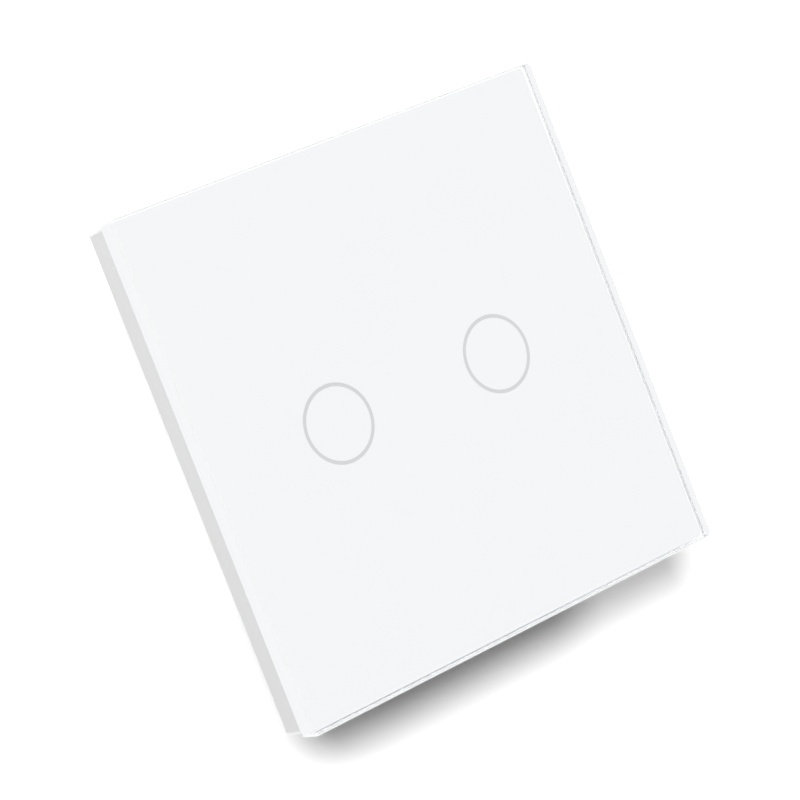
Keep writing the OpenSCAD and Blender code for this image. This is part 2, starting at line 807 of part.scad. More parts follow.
module touch_passives() {
  color([0.6, 0.5, 0.4]) for (row = [-1, 1], i = [0 : passive_count - 1])
    translate([(i - (passive_count - 1) / 2) * passive_pitch, y_touch_back, row * passive_z])
      block([-passive_w / 2, 0, -passive_len / 2], [passive_w / 2, passive_t, passive_len / 2]);
}

module header_body() {
  half = header_pitch / 2 - pin_gap;
  color([0.1, 0.1, 0.1]) difference() {
    block([-header_count * header_pitch / 2, y_touch_back, header_z - half],
          [header_count * header_pitch / 2, y_power, header_z + half]);
    link_pins(header_pin / 2, y_touch_back - over, y_power + over);
  }
}

module header_pins() {
  color("gold") link_pins(header_pin / 2, y_touch - header_tail, y_power_back + header_tail);
}

module power_pcb() {
  color([0.1, 0.35, 0.22]) difference() {
    slab(y_power, y_power_back) rounded(board_w, board_h, rear_r - rear_wall);
    corners(column_x, column_z) rod(box_screw_r + screw_gap, y_power - over, y_power_back + over);
    link_pins(header_pin / 2 + pin_gap, y_power - over, y_power_back + over);
    leads(pin_gap, over);
    relays() relay_pins(pin_gap, over);
    terminals() contact_leg(pin_gap, over);
  }
}

// Wire leads that pass through the power board
module leads(grow, tail) {
  r = lead_d / 2 + grow;
  y0 = y_power - tail;
  y1 = y_power_back + tail;
  for (i = [-1, 1]) {
    translate([varistor_x, 0, transformer_z + i * varistor_d / 4]) rod(r, y0, y1);
    translate([fuse_x + i * (fuse_len / 2 + lead_d), 0, upper_row_z]) rod(r, y0, y1);
  }
}

// Outer size of the core, its window and its middle leg
core_half = core_w / 2;
core_window = core_half - core_leg;
y_core = y_power_back + core_leg;
y_core_window = y_core + core_leg;
y_core_window_top = y_core + core_h - core_leg;
y_flange_low = y_core_window + wound_gap;
y_flange_high = y_core_window_top - wound_gap;
bobbin_in = core_leg + wound_gap;
bobbin_out = bobbin_in + bobbin_t;
bobbin_in_d = core_d / 2 + wound_gap;
bobbin_half = core_window - wound_gap;

module at_transformer() {
  translate([transformer_x, 0, transformer_z]) children();
}

module transformer_core() {
  color([0.2, 0.2, 0.21]) at_transformer() difference() {
    block([-core_half, y_core, -core_d / 2], [core_half, y_core + core_h, core_d / 2]);
    for (side = [0, 180]) rotate([0, side, 0])
      block(
        [core_leg, y_core_window, -core_d / 2 - over],
        [core_window, y_core_window_top, core_d / 2 + over]
      );
  }
}

module transformer_bobbin() {
  half_d = bobbin_d / 2;
  color([0.15, 0.15, 0.14]) at_transformer() {
    difference() {
      union() {
        block(
          [-bobbin_out, y_flange_low, -bobbin_in_d - bobbin_t],
          [bobbin_out, y_flange_high, bobbin_in_d + bobbin_t]
        );
        for (y = [y_flange_low, y_flange_high - bobbin_t])
          block([-bobbin_half, y, -half_d], [bobbin_half, y + bobbin_t, half_d]);
      }
      block(
        [-bobbin_in, y_flange_low - over, -bobbin_in_d],
        [bobbin_in, y_flange_high + over, bobbin_in_d]
      );
    }
    for (side = [0, 180]) rotate([0, side, 0])
      block(
        [-bobbin_half, y_power_back, bobbin_in_d + bobbin_t],
        [bobbin_half, y_flange_low + bobbin_t, half_d]
      );
  }
}

module transformer_winding() {
  y0 = y_flange_low + bobbin_t;
  y1 = y_flange_high - bobbin_t;
  in_x = bobbin_out;
  in_z = bobbin_in_d + bobbin_t;
  color([0.85, 0.7, 0.2]) at_transformer() difference() {
    block([-bobbin_half, y0, bobbin_rim - bobbin_d / 2], [bobbin_half, y1, bobbin_d / 2 - bobbin_rim]);
    block([-in_x, y0 - over, -in_z], [in_x, y1 + over, in_z]);
  }
}

module bulk_capacitors() {
  color([0.12, 0.14, 0.2]) for (side = [-1, 1])
    translate([bulk_x + side * bulk_pitch / 2, 0, transformer_z])
      rod(bulk_d / 2, y_power_back, y_power_back + bulk_h);
}

module x_capacitor() {
  color([0.8, 0.65, 0.2]) translate([transformer_x, 0, upper_row_z])
    block([-xcap_len / 2, y_power_back, -xcap_w / 2], [xcap_len / 2, y_power_back + xcap_h, xcap_w / 2]);
}

module varistor() {
  y_mid = y_power_back + lead_d + varistor_d / 2;
  color([0.15, 0.35, 0.7]) union() {
    translate([varistor_x - varistor_t / 2, y_mid, transformer_z])
      rotate([0, 90, 0]) cylinder(d = varistor_d, h = varistor_t);
    for (i = [-1, 1]) translate([varistor_x, 0, transformer_z + i * varistor_d / 4])
      rod(lead_d / 2, y_power - lead_tail, y_mid);
  }
}

module fuse() {
  y_mid = y_power_back + lead_d + fuse_d / 2;
  reach = fuse_len / 2 + lead_d;
  color([0.75, 0.74, 0.68]) translate([fuse_x, 0, upper_row_z]) union() {
    translate([-fuse_len / 2, y_mid, 0]) rotate([0, 90, 0]) cylinder(d = fuse_d, h = fuse_len);
    translate([-reach, y_mid, 0]) rotate([0, 90, 0]) cylinder(d = lead_d, h = 2 * reach);
    for (i = [-1, 1]) translate([i * reach, 0, 0]) {
      rod(lead_d / 2, y_power - lead_tail, y_mid);
      translate([0, y_mid, 0]) sphere(d = lead_d);
    }
  }
}

module power_chips() {
  half = supply_chip_len / 2;
  color([0.1, 0.1, 0.11]) for (i = [-1 : 1])
    translate([bulk_x + i * bulk_pitch, y_power_back, supply_chip_z])
      block([-half, 0, -supply_chip_w / 2], [half, chip_t, supply_chip_w / 2]);
}

// Places a relay piece, drawn for the right relay, on one side
module relay(side) {
  mirror([side < 0 ? 1 : 0, 0, 0]) translate([relay_x, 0, relay_z]) children();
}

module relays() {
  for (side = [-1, 1]) relay(side) children();
}

// Space of a relay in the rear box
module relay_space() {
  block([0, y_power_back, -relay_side_gap],
        [relay_len + relay_side_gap, y_relay_top + relay_side_gap, relay_w + relay_side_gap]);
}

// Flat pins of a relay: two of the coil, one of the yoke, one of the fixed contact
relay_pin_u = [coil_u, pivot_u, fixed_u + yoke_t / 2];

module relay_pin(u, v, grow, tail) {
  block([u - pin_t / 2 - grow, y_power - tail, v - pin_w / 2 - grow],
        [u + pin_t / 2 + grow, y_relay + root + tail, v + pin_w / 2 + grow]);
}

module coil_pins(grow, tail) {
  for (v = [relay_wall + pin_w, relay_w - relay_wall - pin_w]) relay_pin(relay_pin_u[0], v, grow, tail);
}

module relay_pins(grow, tail) {
  coil_pins(grow, tail);
  relay_pin(relay_pin_u[1], relay_mid, grow, tail);
  relay_pin(relay_pin_u[2], relay_mid, grow, tail);
}

module relay_base(side) {
  color([0.1, 0.12, 0.18]) relay(side) difference() {
    block([0, y_power_back, 0], [relay_len, y_relay, relay_w]);
    relay_pins(pin_gap, over);
  }
}

module relay_case(side) {
  color([0.12, 0.2, 0.42]) relay(side) difference() {
    block([0, y_relay, 0], [relay_len, y_relay_top, relay_w]);
    block([relay_wall, y_relay - over, relay_wall],
          [relay_len - relay_wall, y_relay_top - relay_wall, relay_w - relay_wall]);
  }
}

module relay_coil(side) {
  y0 = y_relay + yoke_t;
  y1 = y_pole - root;
  color([0.7, 0.35, 0.15]) relay(side) {
    difference() {
      translate([coil_u, 0, relay_mid]) union() {
        rod(coil_d / 2 - coil_flange, y0, y1);
        rod(coil_d / 2, y0, y0 + coil_flange);
        rod(coil_d / 2, y1 - coil_flange, y1);
      }
      translate([coil_u, 0, relay_mid]) rod(relay_core_d / 2 + thread_gap, y0 - over, y1 + over);
    }
    for (v = [relay_wall + pin_w, relay_w - relay_wall - pin_w])
      block([coil_u - pin_t / 2, y_power - lead_tail, v - pin_w / 2],
            [coil_u + pin_t / 2, y0 + coil_flange, v + pin_w / 2]);
  }
}

module relay_yoke(side) {
  low = relay_mid - yoke_w / 2;
  color([0.62, 0.63, 0.66]) relay(side) union() {
    block([foot_u, y_relay, low], [yoke_u, y_relay + yoke_t, low + yoke_w]);
    block([yoke_u - yoke_t, y_relay, low], [yoke_u, y_yoke_top, low + yoke_w]);
    translate([pivot_u, y_yoke_top, low]) cylinder(r = pivot_r, h = yoke_w);
    translate([coil_u, 0, relay_mid]) {
      rod(relay_core_d / 2, y_relay, y_pole);
      rod(relay_core_d / 2 + yoke_t / 2, y_pole - root, y_pole);
    }
    relay_pin(relay_pin_u[1], relay_mid, 0, lead_tail - root);
  }
}

module relay_armature(side) {
  low = relay_mid - yoke_w / 2;
  color([0.7, 0.71, 0.74]) relay(side)
    block([foot_u, y_armature, low], [armature_u, y_armature + armature_t, low + yoke_w]);
}

module relay_blade(side) {
  y0 = y_armature + armature_t;
  low = relay_mid - blade_w / 2;
  high = relay_mid + blade_w / 2;
  color([0.8, 0.5, 0.3]) relay(side) union() {
    block([coil_u, y0, low], [blade_u + blade_t, y0 + blade_t, high]);
    block([blade_u, y_rivet - rivet_d / 2, low], [blade_u + blade_t, y0 + blade_t, high]);
    translate([blade_u, y_rivet, relay_mid]) rotate([0, 90, 0])
      cylinder(d = rivet_d, h = blade_t + rivet_t);
  }
}

module relay_contact(side) {
  low = relay_mid - blade_w / 2;
  high = relay_mid + blade_w / 2;
  color([0.85, 0.6, 0.35]) relay(side) union() {
    block([fixed_u, y_relay, low], [fixed_u + yoke_t, y_rivet + rivet_d, high]);
    translate([fixed_u - rivet_t, y_rivet, relay_mid])
      rotate([0, 90, 0]) cylinder(d = rivet_d, h = rivet_t + root);
    relay_pin(relay_pin_u[2], relay_mid, 0, lead_tail - root);
  }
}

// Copies at the four terminals
module terminals() {
  for (i = [1 : terminal_count]) at_terminal(i) children();
}

module at_terminal(i) {
  translate([(i - (terminal_count + 1) / 2) * terminal_pitch, 0, 0]) children();
}

// Leg of a fixed contact, from the plate down through the power board
module contact_leg(grow, tail) {
  block([-leg_w / 2 - grow, y_power - tail, z_leg - plate_t / 2 - grow],
        [leg_w / 2 + grow, y_plate_rear + grow, z_leg + plate_t / 2 + grow]);
}

// Plate of a fixed contact inside the cage
module contact_plate(grow) {
  half = cage_in_w / 2 - screw_gap + grow;
  block(
    [-half, y_plate - grow, z_cage + cage_wall],
    [half, y_plate_rear + grow, z_leg + plate_t / 2 + grow]
  );
}

module terminal_block() {
  cavity = cage_w / 2 + cage_gap;
  color([0.85, 0.86, 0.86]) difference() {
    block(
      [-terminal_w / 2, y_power_back, z_terminal],
      [terminal_w / 2, y_terminal_back, z_terminal_top]
    );
    terminals() {
      block(
        [-cavity, y_power_back + terminal_floor, z_cage - cage_gap],
        [cavity, y_ledge, z_cage + cage_len + cage_gap]
      );
      block([-mouth_w / 2, y_cage_in, z_terminal - over], [mouth_w / 2, y_plate, z_cage]);
      translate([0, 0, z_cage_mid]) {
        rod(terminal_screw_r + screw_gap, y_ledge - over, y_terminal_back + over);
        rod(terminal_head_d / 2 + screw_gap, y_terminal_seat, y_terminal_back + over);
      }
      contact_leg(pin_gap, over);
      contact_plate(pin_gap);
    }
  }
}

module terminal_contacts() {
  color([0.8, 0.62, 0.32]) terminals() union() {
    contact_plate(0);
    contact_leg(0, lead_tail);
  }
}

module terminal_cage(i) {
  half = cage_w / 2;
  color([0.82, 0.68, 0.36]) at_terminal(i) difference() {
    block([-half, y_cage, z_cage], [half, y_cage_back, z_cage + cage_len]);
    block([-cage_in_w / 2, y_cage_in, z_cage - over], [cage_in_w / 2, y_nut, z_cage + cage_len + over]);
    translate([0, 0, z_cage_mid]) rod(terminal_screw_r + terminal_gap, y_nut - over, y_cage_back + over);
  }
}

module terminal_screw(i) {
  color("silver") at_terminal(i) translate([0, 0, z_cage_mid])
    screw(terminal_screw_r, terminal_head_d / 2, terminal_head_h, y_terminal_tip, y_terminal_head);
}

glass_panel();
ink_layer();
ring_window(-1);  // ring_window_left
ring_window(1);  // ring_window_right
adhesive_tape();
panel_frame();
mounting_frame();
rear_box();
box_screws();
touch_pcb();
board_screws();
touch_spring(-1);  // touch_spring_left
touch_spring(1);  // touch_spring_right
light_guide(-1);  // light_guide_left
light_guide(1);  // light_guide_right
indicator_leds();
touch_chips();
touch_passives();
header_body();
header_pins();
power_pcb();
transformer_core();
transformer_bobbin();
transformer_winding();
bulk_capacitors();
x_capacitor();
varistor();
fuse();
power_chips();
relay_base(-1);  // relay_base_left
relay_case(-1);  // relay_case_left
relay_coil(-1);  // relay_coil_left
relay_yoke(-1);  // relay_yoke_left
relay_armature(-1);  // relay_armature_left
relay_blade(-1);  // relay_blade_left
relay_contact(-1);  // relay_contact_left
relay_base(1);  // relay_base_right
relay_case(1);  // relay_case_right
relay_coil(1);  // relay_coil_right
relay_yoke(1);  // relay_yoke_right
relay_armature(1);  // relay_armature_right
relay_blade(1);  // relay_blade_right
relay_contact(1);  // relay_contact_right
terminal_block();
terminal_contacts();
terminal_cage(1);  // terminal_cage_1
terminal_cage(2);  // terminal_cage_2
terminal_cage(3);  // terminal_cage_3
terminal_cage(4);  // terminal_cage_4
terminal_screw(1);  // terminal_screw_1
terminal_screw(2);  // terminal_screw_2
terminal_screw(3);  // terminal_screw_3
terminal_screw(4);  // terminal_screw_4
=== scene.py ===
"""Touch light switch: finishes, dressed pieces, stage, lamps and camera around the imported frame."""
from __future__ import annotations

import json
import logging
import math
from collections.abc import Sequence
from dataclasses import dataclass
from enum import Enum, IntEnum

import bmesh
import bpy
from mathutils import Matrix, Vector

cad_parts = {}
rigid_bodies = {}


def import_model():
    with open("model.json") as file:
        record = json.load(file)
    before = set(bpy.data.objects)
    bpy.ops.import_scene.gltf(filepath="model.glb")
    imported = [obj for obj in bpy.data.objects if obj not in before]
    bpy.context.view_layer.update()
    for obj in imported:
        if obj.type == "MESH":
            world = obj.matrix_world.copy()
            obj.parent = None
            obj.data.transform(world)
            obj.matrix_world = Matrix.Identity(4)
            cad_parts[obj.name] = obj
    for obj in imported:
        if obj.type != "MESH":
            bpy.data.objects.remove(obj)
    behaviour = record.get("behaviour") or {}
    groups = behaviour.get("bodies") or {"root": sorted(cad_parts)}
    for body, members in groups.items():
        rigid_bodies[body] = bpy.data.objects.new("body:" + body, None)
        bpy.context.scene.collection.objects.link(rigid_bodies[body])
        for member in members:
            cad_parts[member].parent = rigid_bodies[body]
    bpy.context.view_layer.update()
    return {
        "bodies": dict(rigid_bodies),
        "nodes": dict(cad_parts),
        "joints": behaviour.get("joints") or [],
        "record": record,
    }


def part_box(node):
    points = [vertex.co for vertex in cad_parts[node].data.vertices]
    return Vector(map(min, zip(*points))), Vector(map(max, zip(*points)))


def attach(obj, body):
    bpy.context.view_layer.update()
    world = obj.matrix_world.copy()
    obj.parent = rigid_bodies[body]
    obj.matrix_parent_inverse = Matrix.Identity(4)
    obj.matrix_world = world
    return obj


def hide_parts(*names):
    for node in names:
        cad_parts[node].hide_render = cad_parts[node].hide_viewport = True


LOG = logging.getLogger("touch_switch")
MM = 0.001
SHARP = math.radians(35)
TO_FRONT = Matrix.Rotation(math.radians(90), 4, "X")
TO_REAR = Matrix.Rotation(math.radians(-90), 4, "X")
TO_SIDE = Matrix.Rotation(math.radians(90), 4, "Y")

# Places of a Mix node's sockets, whose names repeat
MIX_NUMBERS = (2, 3)
MIX_COLORS = (6, 7)
MIX_COLOR_OUT = 2

Color = tuple[float, float, float]
Corners = tuple[tuple[float, float, float], tuple[float, float, float]]
Socket = bpy.types.NodeSocket
Inputs = dict[str | int, object]


class Effect(Enum):
    """Surface effects that several finishes share."""

    GRAIN = "moulded_grain"
    STREAKS = "drawn_streaks"
    TRACKS = "board_tracks"
    TURNS = "wound_turns"


class Facing(IntEnum):
    """Which way a face of a flat piece looks, as the place of its finish."""

    FLAT = 0
    SIDE = 1
    FRONT = 2
    BACK = 3
    UNDER = 4

    @classmethod
    def of(cls, normal: Vector) -> Facing:
        """Tells which way a face looks.

        Args:
            normal: The face's normal.

        Returns:
            The way.
        """
        straight, down = 0.01, -0.5
        if abs(normal.y) > 1.0 - straight:
            return cls.FLAT
        if abs(normal.y) < straight:
            return cls.SIDE
        if normal.y < 0.0:
            return cls.FRONT
        return cls.UNDER if normal.z < down else cls.BACK


class Graph:
    """Places and links the nodes of one shader tree."""

    def __init__(self, tree: bpy.types.NodeTree) -> None:
        """Empties the tree and keeps it."""
        self.tree = tree
        tree.nodes.clear()

    def add(self, kind: str, inputs: Inputs | None = None, **settings: object) -> bpy.types.Node:
        """Adds a node.

        Args:
            kind: Node type without its ShaderNode prefix.
            inputs: Values by socket name or place; an output is linked.
            settings: Values by attribute name.

        Returns:
            The new node.
        """
        node = self.tree.nodes.new("ShaderNode" + kind)
        for name, value in settings.items():
            setattr(node, name, value)
        for name, value in (inputs or {}).items():
            if isinstance(value, Socket):
                self.tree.links.new(value, node.inputs[name])
            else:
                node.inputs[name].default_value = value
        return node

    def calculate(self, operation: str, first: Socket, second: Socket | float) -> Socket:
        """Adds a calculation.

        Args:
            operation: What it does.
            first: Its first value.
            second: Its second value.

        Returns:
            The result.
        """
        return self.add("Math", {0: first, 1: second}, operation=operation).outputs[0]

    def mix(self, factor: Socket, first: Socket, second: Socket) -> Socket:
        """Mixes two shaders.

        Args:
            factor: Share of the second shader.
            first: The first shader.
            second: The second shader.

        Returns:
            The mixed shader.
        """
        return self.add("MixShader", {0: factor, 1: first, 2: second}).outputs[0]

    def start(self) -> Sequence[Socket]:
        """Adds the start of an effect's group and gives its three inputs."""
        return self.tree.nodes.new("NodeGroupInput").outputs[:3]

    def end(self, height: Socket, spread: Socket, tone: Socket) -> None:
        """Adds the end of an effect's group.

        Args:
            height: Height of the surface.
            spread: Change of its gloss.
            tone: Change of its colour.
        """
        sink = self.tree.nodes.new("NodeGroupOutput")
        for source, target in zip((height, spread, tone), sink.inputs):
            self.tree.links.new(source, target)


class Effects:
    """Builds each shared effect once, as a shader node group."""

    GRAIN_DETAIL = 3.0
    STREAK_DETAIL = 4.0
    SOFT_DETAIL = 2.0
    PATCH_DETAIL = 1.0
    GLOSS_SHARE = 0.1
    STREAK_SCALE = (1.0, 0.06, 1.0)
    PATCH_LIMIT = 0.5
    TRACK_ROWS = {"Mortar Size": 0.055, "Mortar Smooth": 0.2, "Brick Width": 4.7}
    TRACK_SHIFT = 0.35
    TURN_WAVE = {"Distortion": 0.4, "Detail": 1.0}

    def __init__(self) -> None:
        """Starts with no group built."""
        self.groups: dict[Effect, bpy.types.NodeTree] = {}

    def get(self, effect: Effect) -> bpy.types.NodeTree:
        """Gives an effect's node group.

        Args:
            effect: The effect.

        Returns:
            Its node group, built at its first use.
        """
        if effect not in self.groups:
            tree = bpy.data.node_groups.new(effect.value, "ShaderNodeTree")
            self._sockets(tree)
            graph = Graph(tree)
            makers = {
                Effect.GRAIN: self._grain,
                Effect.STREAKS: self._streaks,
                Effect.TRACKS: self._tracks,
                Effect.TURNS: self._turns,
            }
            makers[effect](graph)
            self.groups[effect] = tree
        return self.groups[effect]

    def _sockets(self, tree: bpy.types.NodeTree) -> None:
        """Gives every group the same named inputs and outputs."""
        tree.interface.new_socket("Vector", in_out="INPUT", socket_type="NodeSocketVector")
        for name in ("Fine", "Broad"):
            tree.interface.new_socket(name, in_out="INPUT", socket_type="NodeSocketFloat")
        for name in ("Height", "Spread", "Tone"):
            tree.interface.new_socket(name, in_out="OUTPUT", socket_type="NodeSocketFloat")

    def _noise(self, graph: Graph, vector: Socket, scale: Socket, detail: float) -> Socket:
        """Adds a noise.

        Args:
            graph: The group's graph.
            vector: Where the noise is read.
            scale: Its scale, per metre.
            detail: Its detail.

        Returns:
            Its value.
        """
        return graph.add("TexNoise", {"Vector": vector, "Scale": scale, "Detail": detail}).outputs[0]

    def _grain(self, graph: Graph) -> None:
        """Fine spark-eroded texture, with slow changes of gloss and tone."""
        vector, fine, broad = graph.start()
        slow = graph.calculate("MULTIPLY", fine, self.GLOSS_SHARE)
        graph.end(self._noise(graph, vector, fine, self.GRAIN_DETAIL),
                  self._noise(graph, vector, slow, self.SOFT_DETAIL),
                  self._noise(graph, vector, broad, self.SOFT_DETAIL))

    def _streaks(self, graph: Graph) -> None:
        """Drawing marks of metal, long in one direction."""
        vector, fine, broad = graph.start()
        long = graph.add("Mapping", {"Vector": vector, "Scale": self.STREAK_SCALE}).outputs[0]
        marks = self._noise(graph, long, fine, self.STREAK_DETAIL)
        graph.end(marks, marks, self._noise(graph, vector, broad, self.SOFT_DETAIL))

    def _tracks(self, graph: Graph) -> None:
        """Copper tracks under the solder mask, in patches that run along X or along Z."""
        vector, fine, broad = graph.start()
        split = graph.add("SeparateXYZ", {0: vector}).outputs
        patches = self._noise(graph, vector, broad, self.PATCH_DETAIL)
        track = {0: graph.calculate("GREATER_THAN", patches, self.PATCH_LIMIT)}
        for place, along, across in zip(MIX_NUMBERS, "XZ", "ZX"):
            flat = graph.add("CombineXYZ", {"X": split[along], "Y": split[across]}).outputs[0]
            rows = {"Vector": flat, "Scale": fine, **self.TRACK_ROWS}
            track[place] = graph.add("TexBrick", rows, offset=self.TRACK_SHIFT).outputs["Fac"]
        copper = graph.add("Mix", track).outputs[0]
        graph.end(copper, self._noise(graph, vector, broad, self.SOFT_DETAIL), copper)

    def _turns(self, graph: Graph) -> None:
        """Turns of wire or tape, side by side along Y."""
        vector, fine, broad = graph.start()
        rows = {"Vector": vector, "Scale": fine, **self.TURN_WAVE}
        wave = graph.add("TexWave", rows, wave_type="BANDS", bands_direction="Y").outputs["Fac"]
        graph.end(wave, self._noise(graph, vector, broad, self.SOFT_DETAIL), wave)


@dataclass(frozen=True)
class Finish:
    """The finish of one material slot: a shared effect with its own values, in linear colour and metres."""

    slot: str
    color: Color
    roughness: float
    effect: Effect = Effect.GRAIN
    tone: float = 0.02
    spread: float = 0.04
    fine: float = 5200.0
    broad: float = 60.0
    relief: float = 0.012 * MM
    strength: float = 0.25
    accent: Color | None = None
    metallic: float = 0.0
    coat: float = 0.0
    ior: float = 1.5
    transmission: float = 0.0

    def colors(self) -> tuple[Color, Color]:
        """Gives the two colours that the tone runs between.

        Returns:
            The first and the second colour.
        """
        low = tuple(c * (1.0 - self.tone) for c in self.color)
        high = self.accent or tuple(min(c * (1.0 + self.tone), 1.0) for c in self.color)
        return low, high

    def make(self, effects: Effects) -> bpy.types.Material:
        """Builds the material.

        Args:
            effects: The shared effects.

        Returns:
            The material.
        """
        material = bpy.data.materials.new(self.slot)
        material.use_nodes = True
        graph = Graph(material.node_tree)
        values = {"Vector": graph.add("TexCoord").outputs["Object"], "Fine": self.fine, "Broad": self.broad}
        effect = graph.add("Group", values, node_tree=effects.get(self.effect)).outputs
        tones = {place: (*color, 1.0) for place, color in zip(MIX_COLORS, self.colors())}
        tint = graph.add("Mix", {0: effect["Tone"], **tones}, data_type="RGBA")
        gloss = graph.add("MapRange", {
            "Value": effect["Spread"], "To Min": max(self.roughness - self.spread, 0.0),
            "To Max": self.roughness + self.spread,
        })
        surface: Inputs = {
            "Base Color": tint.outputs[MIX_COLOR_OUT], "Roughness": gloss.outputs[0],
            "Metallic": self.metallic, "IOR": self.ior,
            "Coat Weight": self.coat, "Transmission Weight": self.transmission,
        }
        if self.relief > 0.0:
            bump = {"Height": effect["Height"], "Strength": self.strength, "Distance": self.relief}
            surface["Normal"] = graph.add("Bump", bump).outputs[0]
        shader = graph.add("BsdfPrincipled", surface).outputs[0]
        graph.add("OutputMaterial", {"Surface": self._passed(graph, shader)})
        return material

    def _passed(self, graph: Graph, surface: Socket) -> Socket:
        """Lets the rays that light other things pass a clear surface unbent.

        Args:
            graph: The material's graph.
            surface: The surface that the camera sees.

        Returns:
            The shader to put out.
        """
        if self.transmission > 0.0:
            for kind in ("Is Shadow Ray", "Is Diffuse Ray"):
                passed = graph.add("BsdfTransparent").outputs[0]
                surface = graph.mix(graph.add("LightPath").outputs[kind], surface, passed)
        return surface


METAL = {"metallic": 1.0, "fine": 2600.0}
FINISHES = (
    Finish("clear_glass", (0.985, 0.992, 0.99), 0.0, tone=0.002, spread=0.0, relief=0.0, transmission=1.0),
    # Sides of the glass: its own edge tint, with a darker tone on top of it as painted shade on the side
    # strip
    Finish("glass_side_tint_and_shade", (0.89, 0.905, 0.905), 0.03, tone=0.002, spread=0.01, relief=0.0, transmission=1.0),
    Finish("ground_edge", (0.81, 0.83, 0.825), 0.45, tone=0.01, relief=0.004 * MM, transmission=0.2),
    # Back bevels: ground glass darkened as painted shade
    Finish("ground_back_painted_shade", (0.62, 0.63, 0.635), 0.5, tone=0.01, relief=0.004 * MM, transmission=0.3),
    # Bottom back bevel: ground glass lightened as painted light
    Finish("ground_under_painted_light", (0.83, 0.865, 0.88), 0.5, tone=0.01, relief=0.004 * MM, transmission=0.3),
    Finish("white_ink", (0.915, 0.925, 0.94), 0.6, tone=0.006, relief=0.004 * MM, ior=1.02),
    Finish("ring_grey", (0.675, 0.68, 0.69), 0.5, tone=0.02, relief=0.004 * MM, ior=1.02),
    Finish("tape", (0.82, 0.82, 0.79), 0.8, fine=2600.0, strength=0.5, relief=0.05 * MM),
    Finish("frame_plastic", (0.78, 0.78, 0.785), 0.5),
    Finish("white_plastic", (0.77, 0.77, 0.76), 0.48),
    Finish("zinc_steel", (0.66, 0.67, 0.69), 0.3, Effect.STREAKS, tone=0.06, **METAL),
    Finish("board_green", (0.012, 0.09, 0.04), 0.32, Effect.TRACKS, accent=(0.03, 0.17, 0.07), fine=420.0,
           broad=140.0, relief=0.03 * MM, coat=0.3),
    Finish("board_edge", (0.4, 0.35, 0.2), 0.6, tone=0.1, strength=0.5, relief=0.04 * MM),
    Finish("solder", (0.62, 0.63, 0.65), 0.26, tone=0.05, **METAL),
    Finish("bright_tin", (0.72, 0.73, 0.74), 0.24, Effect.STREAKS, tone=0.05, **METAL),
    Finish("ceramic", (0.78, 0.77, 0.74), 0.45),
    Finish("can_top", (0.75, 0.76, 0.78), 0.3, Effect.STREAKS, tone=0.05, **METAL),
    Finish("sleeve_stripe", (0.45, 0.47, 0.52), 0.3),
    Finish("gold_wire", (0.78, 0.58, 0.27), 0.22, Effect.STREAKS, tone=0.06, **METAL),
    Finish("light_guide", (0.95, 0.965, 0.97), 0.12, tone=0.002, spread=0.02, relief=0.0,
           ior=1.49, transmission=1.0),
    Finish("led", (0.82, 0.76, 0.5), 0.3, coat=0.4),
    Finish("chip_black", (0.012, 0.012, 0.013), 0.42, tone=0.2, fine=7000.0),
    Finish("small_parts", (0.2, 0.13, 0.075), 0.4, tone=0.15),
    Finish("ferrite", (0.022, 0.022, 0.024), 0.5, tone=0.2, strength=0.4),
    Finish("winding_tape", (0.66, 0.42, 0.025), 0.3, Effect.TURNS, accent=(0.7, 0.46, 0.035), fine=150.0),
    Finish("capacitor_sleeve", (0.008, 0.011, 0.032), 0.25, tone=0.15),
    Finish("film_box", (0.62, 0.33, 0.02), 0.35),
    Finish("varistor_blue", (0.01, 0.06, 0.3), 0.3, fine=1500.0, relief=0.03 * MM),
    Finish("fuse_body", (0.55, 0.52, 0.42), 0.5),
    Finish("relay_blue", (0.008, 0.028, 0.15), 0.35),
    Finish("coil", (0.2, 0.06, 0.02), 0.35, Effect.TURNS, accent=(0.5, 0.17, 0.06), fine=2200.0,
           relief=0.05 * MM, strength=0.6),
    Finish("relay_steel", (0.5, 0.51, 0.53), 0.34, Effect.STREAKS, tone=0.05, **METAL),
    Finish("contact_copper", (0.72, 0.36, 0.18), 0.28, Effect.STREAKS, tone=0.06, **METAL),
    Finish("terminal_grey", (0.56, 0.57, 0.58), 0.5),
    Finish("terminal_brass", (0.72, 0.51, 0.2), 0.3, Effect.STREAKS, tone=0.06, **METAL),
)


@dataclass(frozen=True)
class Box:
    """Lowest and highest corner of a solid."""

    low: Vector
    high: Vector

    @property
    def middle(self) -> Vector:
        """Gives the middle point."""
        return (self.low + self.high) / 2

    @property
    def size(self) -> Vector:
        """Gives the three sides."""
        return self.high - self.low

    def part(self, low: Sequence[float], high: Sequence[float]) -> Box:
        """Cuts out a part.

        Args:
            low: Lowest corner of the part, as shares of the sides.
            high: Its highest corner.

        Returns:
            The part.
        """
        corners = [Vector(s * x for s, x in zip(self.size, share)) + self.low for share in (low, high)]
        return Box(*corners)

    def ends(self, share: float, base: float = 0.0) -> list[Box]:
        """Cuts out both ends along Z.

        Args:
            share: Share of the length that each takes.
            base: Where they start along Y, as a share.

        Returns:
            The two ends.
        """
        runs = ((0.0, share), (1.0 - share, 1.0))
        return [self.part((0.0, base, low), (1.0, 1.0, high)) for low, high in runs]


def add_object(name: str, data: bpy.types.ID) -> bpy.types.Object:
    """Puts an object into the scene.

    Args:
        name: Its name.
        data: Its mesh, lamp or camera.

    Returns:
        The object.
    """
    obj = bpy.data.objects.new(name, data)
    bpy.context.scene.collection.objects.link(obj)
    return obj


def crease(mesh: bmesh.types.BMesh) -> None:
    """Keeps the sharp edges of a mesh sharp and makes the others smooth."""
    for edge in mesh.edges:
        edge.smooth = edge.calc_face_angle(0.0) < SHARP


